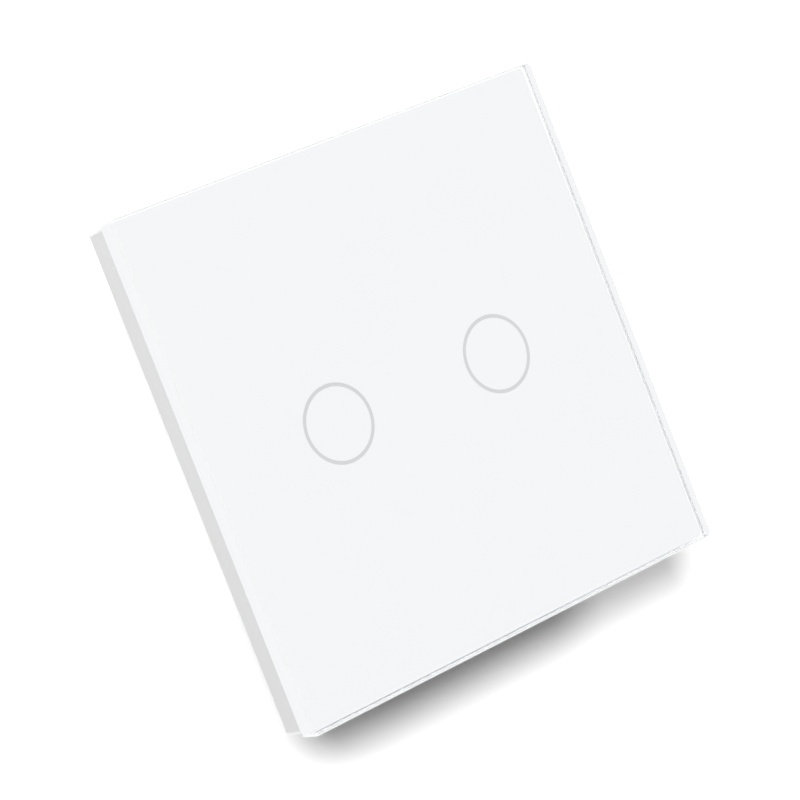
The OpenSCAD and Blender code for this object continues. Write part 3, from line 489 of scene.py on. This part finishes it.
def round_off(mesh: bmesh.types.BMesh, edges: Sequence[bmesh.types.BMEdge], width: float) -> None:
    """Rounds edges.

    Args:
        mesh: Their mesh.
        edges: The edges.
        width: Width of the rounding.
    """
    bmesh.ops.bevel(mesh, geom=edges, offset=width, offset_type="OFFSET", segments=2, profile=0.5,
                    affect="EDGES", clamp_overlap=True, material=-1)


def edges_at(verts: Sequence[bmesh.types.BMVert]) -> list[bmesh.types.BMEdge]:
    """Lists the edges at some points, each once."""
    return list(dict.fromkeys(edge for vert in verts for edge in vert.link_edges))


class Shape:
    """A mesh in the making, with the forms that small pieces are made of."""

    MERGE = 0.0005 * MM

    def __init__(self) -> None:
        """Starts empty."""
        self.mesh = bmesh.new()

    def block(self, box: Box, edge: float, place: Matrix = Matrix.Identity(4)) -> None:
        """Adds a block with rounded edges.

        Args:
            box: The block's box.
            edge: Width of the rounding.
            place: Where the box is set down.
        """
        form = place @ Matrix.Translation(box.middle) @ Matrix.Diagonal((*box.size, 1.0))
        made = bmesh.ops.create_cube(self.mesh, size=1.0, matrix=form)
        round_off(self.mesh, edges_at(made["verts"]), edge)

    def turned(self, profile: Sequence[tuple[float, float]], place: Matrix, sweep: float = math.tau,
               steps: int = 48) -> None:
        """Turns a profile about the Z axis of a place.

        Args:
            profile: Points as radius and height.
            place: Where the axis stands.
            sweep: Angle that is swept.
            steps: Steps of the sweep.
        """
        verts = [self.mesh.verts.new(place @ Vector((r, 0.0, h))) for r, h in profile]
        edges = [self.mesh.edges.new(pair) for pair in zip(verts, verts[1:])]
        axis = place.to_3x3() @ Vector((0.0, 0.0, 1.0))
        bmesh.ops.spin(self.mesh, geom=verts + edges, cent=place.translation, axis=axis, angle=sweep,
                       steps=steps, use_merge=sweep >= math.tau)

    def coil(self, start: Vector, radius: float, wire: float, runs: Sequence[tuple[float, float]],
             sides: int = 12, steps: int = 48) -> None:
        """Winds a round wire about an axis along Y.

        Args:
            start: Point on the axis where the wire starts.
            radius: Radius of the wire's middle line.
            wire: Diameter of the wire.
            runs: Turns and rise of each stretch.
            sides: Sides of the wire.
            steps: Steps in a turn.
        """
        section = Matrix.Translation(start + Vector((radius, 0.0, 0.0)))
        verts = bmesh.ops.create_circle(self.mesh, segments=sides, radius=wire / 2, matrix=section)["verts"]
        geom = verts + edges_at(verts)
        for turns, rise in runs:
            count = round(turns * steps)
            geom = bmesh.ops.spin(self.mesh, geom=geom, cent=start, axis=(0.0, 1.0, 0.0),
                                  angle=-math.tau * turns, steps=count,
                                  dvec=(0.0, rise / count, 0.0))["geom_last"]
        self.cap()

    def ribbon(self, points: Sequence[Vector], across: Vector, thick: float) -> None:
        """Adds a bent strip of sheet metal.

        Args:
            points: Middle line of the strip.
            across: Its width, as a vector.
            thick: Its thickness.
        """
        verts = [self.mesh.verts.new(point - across / 2) for point in points]
        edges = [self.mesh.edges.new(pair) for pair in zip(verts, verts[1:])]
        made = bmesh.ops.extrude_edge_only(self.mesh, edges=edges)["geom"]
        moved = [g for g in made if isinstance(g, bmesh.types.BMVert)]
        bmesh.ops.translate(self.mesh, verts=moved, vec=across)
        faces = [g for g in made if isinstance(g, bmesh.types.BMFace)]
        bmesh.ops.solidify(self.mesh, geom=faces, thickness=thick)

    def cap(self) -> None:
        """Closes open ends."""
        bmesh.ops.holes_fill(self.mesh, edges=[e for e in self.mesh.edges if e.is_boundary], sides=0)

    def done(self) -> bmesh.types.BMesh:
        """Merges doubles, turns the faces outwards and gives the mesh."""
        bmesh.ops.remove_doubles(self.mesh, verts=self.mesh.verts, dist=self.MERGE)
        self.cap()
        bmesh.ops.recalc_face_normals(self.mesh, faces=self.mesh.faces)
        crease(self.mesh)
        return self.mesh


class Bench:
    """Keeps the loaded frame and the materials, and turns meshes into pieces of the switch."""

    MERGE = 0.001 * MM
    FLAT = math.radians(0.5)

    def __init__(self, frame: dict) -> None:
        """Builds every material and gives it to the nodes of its slot.

        Args:
            frame: The loaded frame.
        """
        self.nodes: dict[str, bpy.types.Object] = frame["nodes"]
        effects = Effects()
        self.materials = {finish.slot: finish.make(effects) for finish in FINISHES}
        self.slots = {part["node"]: part["material_slot"] for part in frame["record"]["subparts"]}
        bodies = frame["record"]["behaviour"]["bodies"]
        self.owners = {node: body for body, nodes in bodies.items() for node in nodes}
        for node, slot in self.slots.items():
            self.paint(self.nodes[node], slot)

    def paint(self, obj: bpy.types.Object, finish: str) -> None:
        """Gives an object one finish."""
        if not obj.material_slots:
            obj.data.materials.append(self.materials[finish])
        for place in obj.material_slots:
            place.material = self.materials[finish]

    def box(self, node: str) -> Box:
        """Gives a node's box."""
        low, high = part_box(node)
        return Box(Vector(low), Vector(high))

    def copy(self, node: str) -> bmesh.types.BMesh:
        """Copies a node's mesh with its doubles merged and its flat faces joined.

        Args:
            node: The node's name.

        Returns:
            The copy.
        """
        mesh = bmesh.new()
        mesh.from_mesh(self.nodes[node].data)
        bmesh.ops.remove_doubles(mesh, verts=mesh.verts, dist=self.MERGE)
        bmesh.ops.dissolve_limit(mesh, angle_limit=self.FLAT, verts=mesh.verts, edges=mesh.edges)
        return mesh

    def solids(self, node: str, front: float | None = None) -> list[Box]:
        """Finds the separate solids of a node.

        Args:
            node: The node's name.
            front: Where given, only what stands in front of this depth counts.

        Returns:
            Their boxes.
        """
        mesh = self.copy(node)
        if front is not None:
            geom = [*mesh.verts, *mesh.edges, *mesh.faces]
            bmesh.ops.bisect_plane(mesh, geom=geom, plane_co=(0.0, front, 0.0), plane_no=(0.0, 1.0, 0.0),
                                   clear_outer=True)
        boxes = []
        left = dict.fromkeys(mesh.verts)
        while left:
            group = [next(iter(left))]
            del left[group[0]]
            for vert in group:
                near = [v for v in (edge.other_vert(vert) for edge in vert.link_edges) if v in left]
                for other in near:
                    del left[other]
                group.extend(near)
            columns = list(zip(*(vert.co for vert in group)))
            boxes.append(Box(Vector(map(min, columns)), Vector(map(max, columns))))
        mesh.free()
        return boxes

    def piece(self, name: str, mesh: bmesh.types.BMesh, node: str,
              finish: str | None = None) -> bpy.types.Object:
        """Makes a piece that rides with a node.

        Args:
            name: The piece's name.
            mesh: Its mesh, which is freed.
            node: The node that it belongs to.
            finish: Its finish, or None for the node's own.

        Returns:
            The piece.
        """
        for face in mesh.faces:
            face.smooth = True
        data = bpy.data.meshes.new(name)
        mesh.to_mesh(data)
        mesh.free()
        obj = add_object(name, data)
        finish = finish or self.slots[node]
        self.paint(obj, finish)
        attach(obj, self.owners[node])
        even = obj.modifiers.new("even_normals", "WEIGHTED_NORMAL")
        even.keep_sharp = True
        LOG.info("piece %s: %d faces, on %s", name, len(data.polygons), self.owners[node])
        return obj

    def stand_in(self, name: str, mesh: bmesh.types.BMesh, node: str) -> bpy.types.Object:
        """Makes a piece that takes a node's place.

        Args:
            name: The piece's name.
            mesh: Its mesh, which is freed.
            node: The node.

        Returns:
            The piece.
        """
        obj = self.piece(name, mesh, node)
        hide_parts(node)
        return obj

    def soften(self, width: float, *nodes: str) -> None:
        """Replaces nodes by copies whose outer edges are rounded.

        Args:
            width: Width of the rounding.
            nodes: The nodes' names.
        """
        for node in nodes:
            mesh = self.copy(node)
            sharp = [e for e in mesh.edges if e.is_manifold and e.calc_face_angle(0.0) > SHARP]
            outer = [e for e in sharp if e.is_convex]
            for edge in sharp:
                edge.smooth = edge.is_convex
            round_off(mesh, outer, width)
            self.stand_in(f"{node}_soft", mesh, node)

    def faced(self, node: str, side: str, front: str, back: str, under: str) -> None:
        """Replaces a node by a copy whose sides and slanting edges have finishes of their own.

        Args:
            node: The node's name.
            side: Finish of the faces along Y.
            front: Finish of the edges that slant to the front.
            back: Finish of the edges that slant to the back.
            under: Finish of the edge that slants to the back and down.
        """
        mesh = self.copy(node)
        for face in mesh.faces:
            face.material_index = Facing.of(face.normal)
        crease(mesh)
        obj = self.stand_in(f"{node}_faced", mesh, node)
        for finish in (side, front, back, under):
            obj.data.materials.append(self.materials[finish])


@dataclass(frozen=True)
class Marks:
    """Low round marks on moulded plastic, such as ejector pins leave."""

    radius: float = 1.5 * MM
    height: float = 0.03 * MM
    rim: float = 0.1 * MM
    suffix: str = "pin_marks"
    steps: int = 32

    @staticmethod
    def corners(across: float, share: float) -> list[tuple[float, float]]:
        """Gives four spots around the middle.

        Args:
            across: Their distance to the sides.
            share: Their distance up and down, as a share of the other.

        Returns:
            The spots.
        """
        return [(x * across, z * across) for x in (-1, 1) for z in (-share, share)]

    def build(self, bench: Bench, node: str, depth: float, spots: Sequence[tuple[float, float]],
              back: bool) -> None:
        """Adds the marks of one node.

        Args:
            bench: The bench.
            node: The moulded node.
            depth: Depth of the face that they are on.
            spots: Their places across and up.
            back: True on a face that looks to the rear.
        """
        shape = Shape()
        turn = TO_REAR if back else TO_FRONT
        profile = ((0.0, -self.height), (self.radius, -self.height), (self.radius, 0.0),
                   (self.radius - self.rim, self.height), (0.0, self.height))
        for x, z in spots:
            shape.turned(profile, Matrix.Translation((x, depth, z)) @ turn, steps=self.steps)
        bench.piece(f"{node}_{self.suffix}", shape.done(), node)


@dataclass
class FrontPanel:
    """Glass, ink and the frame that carries them."""

    frame_edge: float = 0.2 * MM
    ink_bond: float = 0.01 * MM
    inside: float = -4.3 * MM
    mark_at: float = 36.4 * MM
    mark_share: float = 0.6

    def build(self, bench: Bench) -> None:
        """Dresses the panel."""
        # The glass sides carry a darker tone, partly painted shade; the back bevels carry painted shade,
        # and the bottom back bevel carries painted light
        bench.faced("glass_panel", "glass_side_tint_and_shade", "ground_edge", "ground_back_painted_shade", "ground_under_painted_light")
        for node in ("ink_layer", "ring_window_left", "ring_window_right"):
            self._bond(bench, node)
        bench.soften(self.frame_edge, "panel_frame")
        spots = [*Marks.corners(self.mark_at, self.mark_share), (0.0, self.mark_at), (0.0, -self.mark_at)]
        Marks().build(bench, "panel_frame", self.inside, spots, back=True)

    def _bond(self, bench: Bench, node: str) -> None:
        """Sinks the printed face a hair into the glass, so that no air shows between the two.

        Args:
            bench: The bench.
            node: The printed node.
        """
        mesh = bench.copy(node)
        front = bench.box(node).low.y + self.ink_bond
        printed = [v for v in mesh.verts if v.co.y < front]
        bmesh.ops.translate(mesh, verts=printed, vec=(0.0, -self.ink_bond, 0.0))
        crease(mesh)
        bench.stand_in(f"{node}_bonded", mesh, node)


@dataclass
class WallModule:
    """Mounting frame, rear box and the screws that close them."""

    plate_edge: float = 0.2 * MM
    box_edge: float = 0.3 * MM
    screw_edge: float = 0.15 * MM
    flange_front: float = -2.0 * MM
    mark_at: float = 34.0 * MM
    mark_share: float = 0.85

    def build(self, bench: Bench) -> None:
        """Dresses the module's housing."""
        bench.soften(self.plate_edge, "mounting_frame")
        bench.soften(self.box_edge, "rear_box")
        bench.soften(self.screw_edge, "box_screws", "board_screws")
        spots = Marks.corners(self.mark_at, self.mark_share)
        Marks().build(bench, "mounting_frame", self.flange_front, spots, back=False)


@dataclass
class Package:
    """Moulded chip package with bent legs along two sides."""

    pitch: float
    leg_width: float = 0.32 * MM
    leg_thick: float = 0.15 * MM
    edge: float = 0.08 * MM
    width_share: float = 0.64
    standoff: float = 0.12
    leg_root: float = -0.15
    leg_shoulder: float = 0.3
    leg_heel: float = 0.5

    def build(self, bench: Bench, node: str) -> None:
        """Replaces the plain chips of a node.

        Args:
            bench: The bench.
            node: The chips' node; its board lies in front of it.
        """
        bodies, legs = Shape(), Shape()
        gap = (1.0 - self.width_share) / 2
        for box in bench.solids(node):
            body = box.part((0.0, self.standoff, gap), (1.0, 1.0, 1.0 - gap))
            bodies.block(body, self.edge)
            count = int((box.size.x - 2 * self.leg_width) / self.pitch) + 1
            for i in range(count):
                across = box.middle.x + (i - (count - 1) / 2) * self.pitch
                for side in (-1, 1):
                    self._leg(legs, box, body, across, side)
        bench.stand_in(f"{node}_bodies", bodies.done(), node)
        bench.piece(f"{node}_legs", legs.done(), node, "bright_tin")

    def _leg(self, legs: Shape, box: Box, body: Box, across: float, side: int) -> None:
        """Adds one leg.

        Args:
            legs: The legs' shape.
            box: Room of the whole chip.
            body: Its moulded body.
            across: The leg's place along the body.
            side: The side that it stands on.
        """
        inner = body.middle.z + side * body.size.z / 2
        reach = side * (box.size.z - body.size.z) / 2
        foot = box.low.y + self.leg_thick / 2
        route = ((body.middle.y, self.leg_root), (body.middle.y, self.leg_shoulder),
                 (foot, self.leg_heel), (foot, 1.0))
        points = [Vector((across, y, inner + share * reach)) for y, share in route]
        legs.ribbon(points, Vector((self.leg_width, 0.0, 0.0)), self.leg_thick)


@dataclass
class Solder:
    """Solder joints around the leads that stand out of a board's front."""

    foot: float = 0.5 * MM
    height: float = 0.5 * MM
    waist: float = 0.4
    waist_height: float = 0.25
    neck: float = 1.1
    neck_height: float = 0.7
    tip: float = 0.9
    steps: int = 20

    def build(self, bench: Bench, board: str, nodes: Sequence[str]) -> None:
        """Adds the joints of a board.

        Args:
            bench: The bench.
            board: The board's node.
            nodes: Nodes whose leads pass it.
        """
        shape = Shape()
        front = bench.box(board).low.y
        for node in nodes:
            for tail in bench.solids(node, front):
                lead = max(tail.size.x, tail.size.z) / 2
                profile = ((0.0, 0.0), (lead + self.foot, 0.0),
                           (lead + self.waist * self.foot, self.waist_height * self.height),
                           (self.neck * lead, self.neck_height * self.height),
                           (self.tip * lead, self.height), (0.0, self.height))
                place = Matrix.Translation((tail.middle.x, front, tail.middle.z)) @ TO_FRONT
                shape.turned(profile, place, steps=self.steps)
        bench.piece(f"{board}_solder", shape.done(), board, "solder")


@dataclass
class TouchBoard:
    """Board behind the platform, with its springs, light guides and small parts."""

    wire: float = 0.6 * MM
    turns: float = 4.5
    flat_turns: float = 0.6
    guide_edge: float = 0.12 * MM
    led_length: float = 1.6 * MM
    led_width: float = 0.8 * MM
    led_lens: Corners = ((0.08, 0.0, 0.22), (0.92, 0.55, 0.78))
    led_base: Corners = ((0.0, 0.5, 0.1), (1.0, 1.0, 0.9))
    led_end: float = 0.16
    led_end_from: float = 0.55
    small_edge: float = 0.05 * MM
    small_body: tuple[float, float] = (0.03, 0.94)
    cap_share: float = 0.24
    chip_pitch: float = 0.65 * MM

    def build(self, bench: Bench) -> None:
        """Dresses the board and its parts."""
        bench.faced("touch_pcb", *["board_edge"] * 4)
        for side in ("left", "right"):
            self._spring(bench, f"touch_spring_{side}")
            bench.soften(self.guide_edge, f"light_guide_{side}")
        self._leds(bench)
        self._passives(bench)
        Package(self.chip_pitch).build(bench, "touch_chips")
        Solder().build(bench, "touch_pcb", ("header_pins",))
        bench.soften(self.guide_edge, "header_body", "header_pins")

    def _spring(self, bench: Bench, node: str) -> None:
        """Winds a touch spring with closed ends in its node's place.

        Args:
            bench: The bench.
            node: The spring's node.
        """
        box = bench.box(node)
        start = Vector((box.middle.x, box.high.y - self.wire / 2, box.middle.z))
        flat = (self.flat_turns, 0.0)
        rise = (self.turns - 2 * self.flat_turns, self.wire - box.size.y)
        shape = Shape()
        shape.coil(start, (box.size.x - self.wire) / 2, self.wire, (flat, rise, flat))
        bench.stand_in(f"{node}_wound", shape.done(), node)

    def _leds(self, bench: Bench) -> None:
        """Replaces the LEDs by lenses on ceramic bases with plated ends."""
        lenses, bases, ends = Shape(), Shape(), Shape()
        rings = [bench.box(f"touch_spring_{side}").middle for side in ("left", "right")]
        for solid in bench.solids("indicator_leds"):
            ring = min(rings, key=lambda middle: (middle - solid.middle).length)
            out = solid.middle - ring
            place = Matrix.Translation(solid.middle) @ Matrix.Rotation(-math.atan2(out.z, out.x), 4, "Y")
            half = Vector((self.led_width, solid.size.y, self.led_length)) / 2
            room = Box(-half, half)
            lenses.block(room.part(*self.led_lens), 2 * self.small_edge, place)
            bases.block(room.part(*self.led_base), self.small_edge, place)
            for end in room.ends(self.led_end, self.led_end_from):
                ends.block(end, self.small_edge, place)
        bench.stand_in("indicator_led_lenses", lenses.done(), "indicator_leds")
        bench.piece("indicator_led_bases", bases.done(), "indicator_leds", "ceramic")
        bench.piece("indicator_led_ends", ends.done(), "indicator_leds", "bright_tin")

    def _passives(self, bench: Bench) -> None:
        """Replaces the small parts by bodies between plated caps."""
        bodies, caps = Shape(), Shape()
        share = self.cap_share
        side, height = self.small_body
        for box in bench.solids("touch_passives"):
            bodies.block(box.part((side, 0.0, share), (1.0 - side, height, 1.0 - share)), self.small_edge)
            for cap in box.ends(share):
                caps.block(cap, self.small_edge)
        bench.stand_in("touch_passive_bodies", bodies.done(), "touch_passives")
        bench.piece("touch_passive_caps", caps.done(), "touch_passives", "bright_tin")


@dataclass
class PowerBoard:
    """Board with the supply parts; angles are in degrees, and what has no unit is a share or a count."""

    core_edge: float = 0.25 * MM
    film_edge: float = 0.6 * MM
    groove: float = 0.35 * MM
    groove_at: float = 1.8 * MM
    sleeve_lip: float = 1.1 * MM
    sleeve_round: float = 0.5 * MM
    sleeve_bend: float = 0.3
    vent_gap: float = 9.0
    vent_core: float = 0.06
    vent_rise: float = 0.4
    stripe: float = 42.0
    skin: float = 0.02 * MM
    arc_steps: int = 10
    rim_step: int = 15
    wire_steps: int = 16
    tube_half: float = 4.5 * MM
    coating: float = 0.12 * MM
    cap_length: float = 1.8 * MM
    cap_end: float = 2.2
    chip_pitch: float = 1.27 * MM

    def build(self, bench: Bench) -> None:
        """Dresses the board and its parts."""
        bench.faced("power_pcb", *["board_edge"] * 4)
        bench.soften(self.core_edge, "transformer_core", "transformer_winding")
        bench.soften(self.core_edge / 2, "transformer_bobbin")
        bench.soften(self.film_edge, "x_capacitor")
        self._bulk(bench)
        self._varistor(bench)
        self._fuse(bench)
        Package(self.chip_pitch).build(bench, "power_chips")
        works = ("coil", "yoke", "contact")
        relays = [f"relay_{part}_{side}" for part in works for side in ("left", "right")]
        Solder().build(bench, "power_pcb", ("fuse", "varistor", "terminal_contacts", *relays))

    def _bulk(self, bench: Bench) -> None:
        """Replaces the bulk capacitors by grooved sleeves with scored tops and a plain stripe."""
        sleeves, tops, stripes = Shape(), Shape(), Shape()
        for box in bench.solids("bulk_capacitors"):
            r, h = box.size.x / 2, box.size.y
            place = Matrix.Translation((box.middle.x, box.low.y, box.middle.z)) @ TO_REAR
            lip, core, out = r - self.sleeve_lip, self.vent_core * r, r + self.skin
            start, shoulder = self.groove_at + self.groove, h - self.sleeve_round
            floor, rise = h - self.groove, h - self.vent_rise * self.groove
            bend = self.sleeve_bend * self.sleeve_round
            sleeves.turned((
                (0.0, 0.0), (r - self.groove, 0.0), (r, self.groove), (r, self.groove_at - self.groove),
                (r - self.groove, self.groove_at), (r, start), (r, shoulder), (r - bend, h - bend),
                (r - self.sleeve_round, h), (lip, h), (lip, floor), (0.0, floor),
            ), place)
            top = ((core, floor), (lip, floor), (lip, rise), (core, rise), (core, floor))
            sweep = math.pi / 2 - math.radians(self.vent_gap)
            for quarter in range(4):
                turn = Matrix.Rotation(quarter * math.pi / 2, 4, "Z")
                tops.turned(top, place @ turn, sweep, self.arc_steps)
            band = ((r, start), (out, start), (out, shoulder), (r, shoulder), (r, start))
            stripes.turned(band, place, math.radians(self.stripe), self.arc_steps)
        bench.stand_in("bulk_capacitor_sleeves", sleeves.done(), "bulk_capacitors")
        bench.piece("bulk_capacitor_tops", tops.done(), "bulk_capacitors", "can_top")
        bench.piece("bulk_capacitor_stripes", stripes.done(), "bulk_capacitors", "sleeve_stripe")

    def _varistor(self, bench: Bench) -> None:
        """Replaces the varistor by a rounded, coated disc on two wire leads."""
        box = bench.box("varistor")
        r, half = box.size.z / 2, box.size.x / 2
        middle = Vector((box.middle.x, box.high.y - r, box.middle.z))
        angles = [math.radians(a) for a in range(-90, 91, self.rim_step)]
        rim = [(r - half + half * math.cos(a), half * math.sin(a)) for a in angles]
        disc, leads = Shape(), Shape()
        disc.turned([(0.0, -half), *rim, (0.0, half)], Matrix.Translation(middle) @ TO_SIDE)
        for tail in bench.solids("varistor", bench.box("power_pcb").low.y):
            wire, length = tail.size.x / 2, middle.y - tail.low.y
            place = Matrix.Translation((tail.middle.x, tail.low.y, tail.middle.z)) @ TO_REAR
            profile = ((0.0, 0.0), (wire, 0.0), (wire, length), (0.0, length))
            leads.turned(profile, place, steps=self.wire_steps)
        bench.stand_in("varistor_disc", disc.done(), "varistor")
        bench.piece("varistor_leads", leads.done(), "varistor", "bright_tin")

    def _fuse(self, bench: Bench) -> None:
        """Covers the fuse with its tube and end caps and leaves the leads bare."""
        box = bench.box("fuse")
        r = box.size.z / 2
        half = self.tube_half - 2 * self.coating
        place = Matrix.Translation((box.middle.x, box.high.y - r, box.middle.z)) @ TO_SIDE
        tube, caps = Shape(), Shape()
        skin, out = r + self.skin, r + self.coating
        tube.turned(((0.0, -half), (skin, -half), (skin, half), (0.0, half)), place)
        for side in (-1, 1):
            end, start = side * (half + self.cap_end * self.coating), side * (half - self.cap_length)
            caps.turned(((0.0, end), (out - self.coating, end), (out, end - side * self.coating),
                         (out, start), (r, start), (0.0, start)), place)
        bench.piece("fuse_tube", tube.done(), "fuse")
        bench.piece("fuse_caps", caps.done(), "fuse", "zinc_steel")
        bench.paint(bench.nodes["fuse"], "bright_tin")


@dataclass
class Relays:
    """Two relays with their works."""

    edges: tuple[tuple[str, float], ...] = (
        ("case", 0.4 * MM), ("base", 0.15 * MM), ("coil", 0.12 * MM), ("yoke", 0.08 * MM),
        ("armature", 0.06 * MM), ("blade", 0.03 * MM), ("contact", 0.06 * MM),
    )
    vent: Marks = Marks(radius=0.6 * MM, height=0.2 * MM, suffix="vent")
    vent_in: float = 2.0 * MM

    def build(self, bench: Bench) -> None:
        """Rounds the edges of every relay piece and adds the vent of each case."""
        for part, width in self.edges:
            bench.soften(width, f"relay_{part}_left", f"relay_{part}_right")
        for side in ("left", "right"):
            box = bench.box(f"relay_case_{side}")
            spot = (box.low.x + self.vent_in, box.low.z + self.vent_in)
            self.vent.build(bench, f"relay_case_{side}", box.high.y, [spot], back=True)


@dataclass
class Terminals:
    """Terminal block with its clamps and screws."""

    block_edge: float = 0.2 * MM
    metal_edge: float = 0.1 * MM
    screw_edge: float = 0.15 * MM
    count: int = 4

    def build(self, bench: Bench) -> None:
        """Dresses the terminals."""
        bench.soften(self.block_edge, "terminal_block")
        bench.soften(self.metal_edge, "terminal_contacts")
        for i in range(1, self.count + 1):
            bench.soften(self.metal_edge, f"terminal_cage_{i}")
            bench.soften(self.screw_edge, f"terminal_screw_{i}")


@dataclass(frozen=True)
class Lamp:
    """A broad distant lamp; its level is the light on a white surface that faces it, where 1 is white."""

    name: str
    level: float
    azimuth: float
    elevation: float
    angle: float

    def build(self) -> None:
        """Adds the lamp on its side, in degrees from the front, and at its height."""
        lamp = bpy.data.lights.new(self.name, "SUN")
        lamp.energy = self.level * math.pi
        lamp.angle = math.radians(self.angle)
        obj = add_object(self.name, lamp)
        side, height = math.radians(self.azimuth), math.radians(self.elevation)
        flat = math.cos(height)
        towards = Vector((math.sin(side) * flat, -math.cos(side) * flat, math.sin(height)))
        obj.rotation_euler = towards.to_track_quat("Z", "Y").to_euler()


@dataclass
class Studio:
    """White sheet behind the switch, soft light and the camera."""

    sheet_y: float = 24.05 * MM
    sheet_size: float = 1.6
    sheet_color: float = 1.455
    sheet_bounce: float = 0.05
    first_bounce: float = 0.5
    ambient: float = 0.14
    lamps: tuple[Lamp, ...] = (
        Lamp("key", 0.731, -33.1, 19.5, 16.9),
        Lamp("fill", 0.236, 16.5, 19.5, 23.6),
        Lamp("high", 0.111, -47.5, 36.1, 14.8),
        Lamp("left_side", 0.16, -100.0, 20.0, 30.0),
        Lamp("right_side", 0.5, 100.0, 20.0, 30.0),
        Lamp("rear", 0.7, 180.0, 15.0, 40.0),
        Lamp("under", 1.1, 180.0, -78.0, 24.0),
    )
    lens: float = 138.13
    clip_start: float = 10 * MM
    camera_at: tuple[float, float, float] = (-271.17 * MM, -423.42 * MM, 34.26 * MM)
    camera_right: tuple[float, float, float] = (0.76998, -0.52418, -0.36383)
    camera_up: tuple[float, float, float] = (0.3423, -0.14188, 0.92882)

    def build(self) -> None:
        """Builds the stage."""
        self._sheet()
        self._world()
        for lamp in self.lamps:
            lamp.build()
        self._camera()
        bpy.context.scene.view_settings.view_transform = "Standard"

    def _sheet(self) -> None:
        """Adds the white sheet that the switch lies against; it is seen from the front only."""
        mesh = bmesh.new()
        place = Matrix.Translation((0.0, self.sheet_y, 0.0)) @ TO_FRONT
        bmesh.ops.create_grid(mesh, x_segments=1, y_segments=1, size=self.sheet_size / 2, matrix=place)
        data = bpy.data.meshes.new("sheet")
        mesh.to_mesh(data)
        mesh.free()
        sheet = add_object("sheet", data)
        material = bpy.data.materials.new("white_sheet")
        material.use_nodes = True
        graph = Graph(material.node_tree)
        surface = graph.add("BsdfDiffuse", {"Color": (*[self.sheet_bounce] * 3, 1.0)}).outputs[0]
        bright = graph.add("BsdfDiffuse", {"Color": (*[self.sheet_color] * 3, 1.0)}).outputs[0]
        surface = self._shown(graph, surface, bright)
        rear = graph.add("NewGeometry").outputs["Backfacing"]
        for factor in (self._direct(graph), rear):
            surface = graph.mix(factor, surface, graph.add("BsdfTransparent").outputs[0])
        graph.add("OutputMaterial", {"Surface": surface})
        data.materials.append(material)

    def _direct(self, graph: Graph) -> Socket:
        """Finds the rays that light what the camera sees first, so that the sheet never shades the rear.

        Args:
            graph: The sheet's graph.

        Returns:
            1 for these rays, 0 for the others.
        """
        path = graph.add("LightPath")
        diffuse = path.outputs["Is Diffuse Ray"]
        early = graph.calculate("SUBTRACT", path.outputs["Diffuse Depth"], diffuse)
        first = graph.calculate("LESS_THAN", early, self.first_bounce)
        lighting = graph.calculate("ADD", path.outputs["Is Shadow Ray"], diffuse)
        return graph.calculate("MULTIPLY", first, lighting)

    def _world(self) -> None:
        """Adds even light, which the camera and reflections see as white."""
        world = bpy.data.worlds.new("studio")
        bpy.context.scene.world = world
        world.use_nodes = True
        graph = Graph(world.node_tree)
        white = (1.0, 1.0, 1.0, 1.0)
        even = graph.add("Background", {"Color": white, "Strength": self.ambient}).outputs[0]
        seen = graph.add("Background", {"Color": white, "Strength": 1.0}).outputs[0]
        graph.add("OutputWorld", {"Surface": self._shown(graph, even, seen)})

    def _shown(self, graph: Graph, plain: Socket, seen: Socket) -> Socket:
        """Shows the camera, reflections and glass another shader than the one that gives light.

        Args:
            graph: The graph.
            plain: The shader that gives light.
            seen: The shader that they see.

        Returns:
            The mixed shader.
        """
        path = graph.add("LightPath")
        for kind in ("Is Camera Ray", "Is Glossy Ray", "Is Transmission Ray"):
            plain = graph.mix(path.outputs[kind], plain, seen)
        return plain

    def _camera(self) -> None:
        """Adds the camera at the photo's angle."""
        data = bpy.data.cameras.new("camera")
        data.lens = self.lens
        data.clip_start = self.clip_start
        obj = add_object("camera", data)
        right = Vector(self.camera_right).normalized()
        up = (Vector(self.camera_up) - right * right.dot(Vector(self.camera_up))).normalized()
        turn = Matrix((right, up, right.cross(up))).transposed().to_4x4()
        obj.matrix_world = Matrix.Translation(self.camera_at) @ turn
        bpy.context.scene.camera = obj


def main() -> None:
    """Builds the dressed switch and its stage."""
    logging.basicConfig(level=logging.INFO, format="%(message)s")
    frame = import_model()
    bench = Bench(frame)
    for assembly in (FrontPanel(), WallModule(), TouchBoard(), PowerBoard(), Relays(), Terminals()):
        assembly.build(bench)
    Studio().build()


if __name__ == "__main__":
    main()
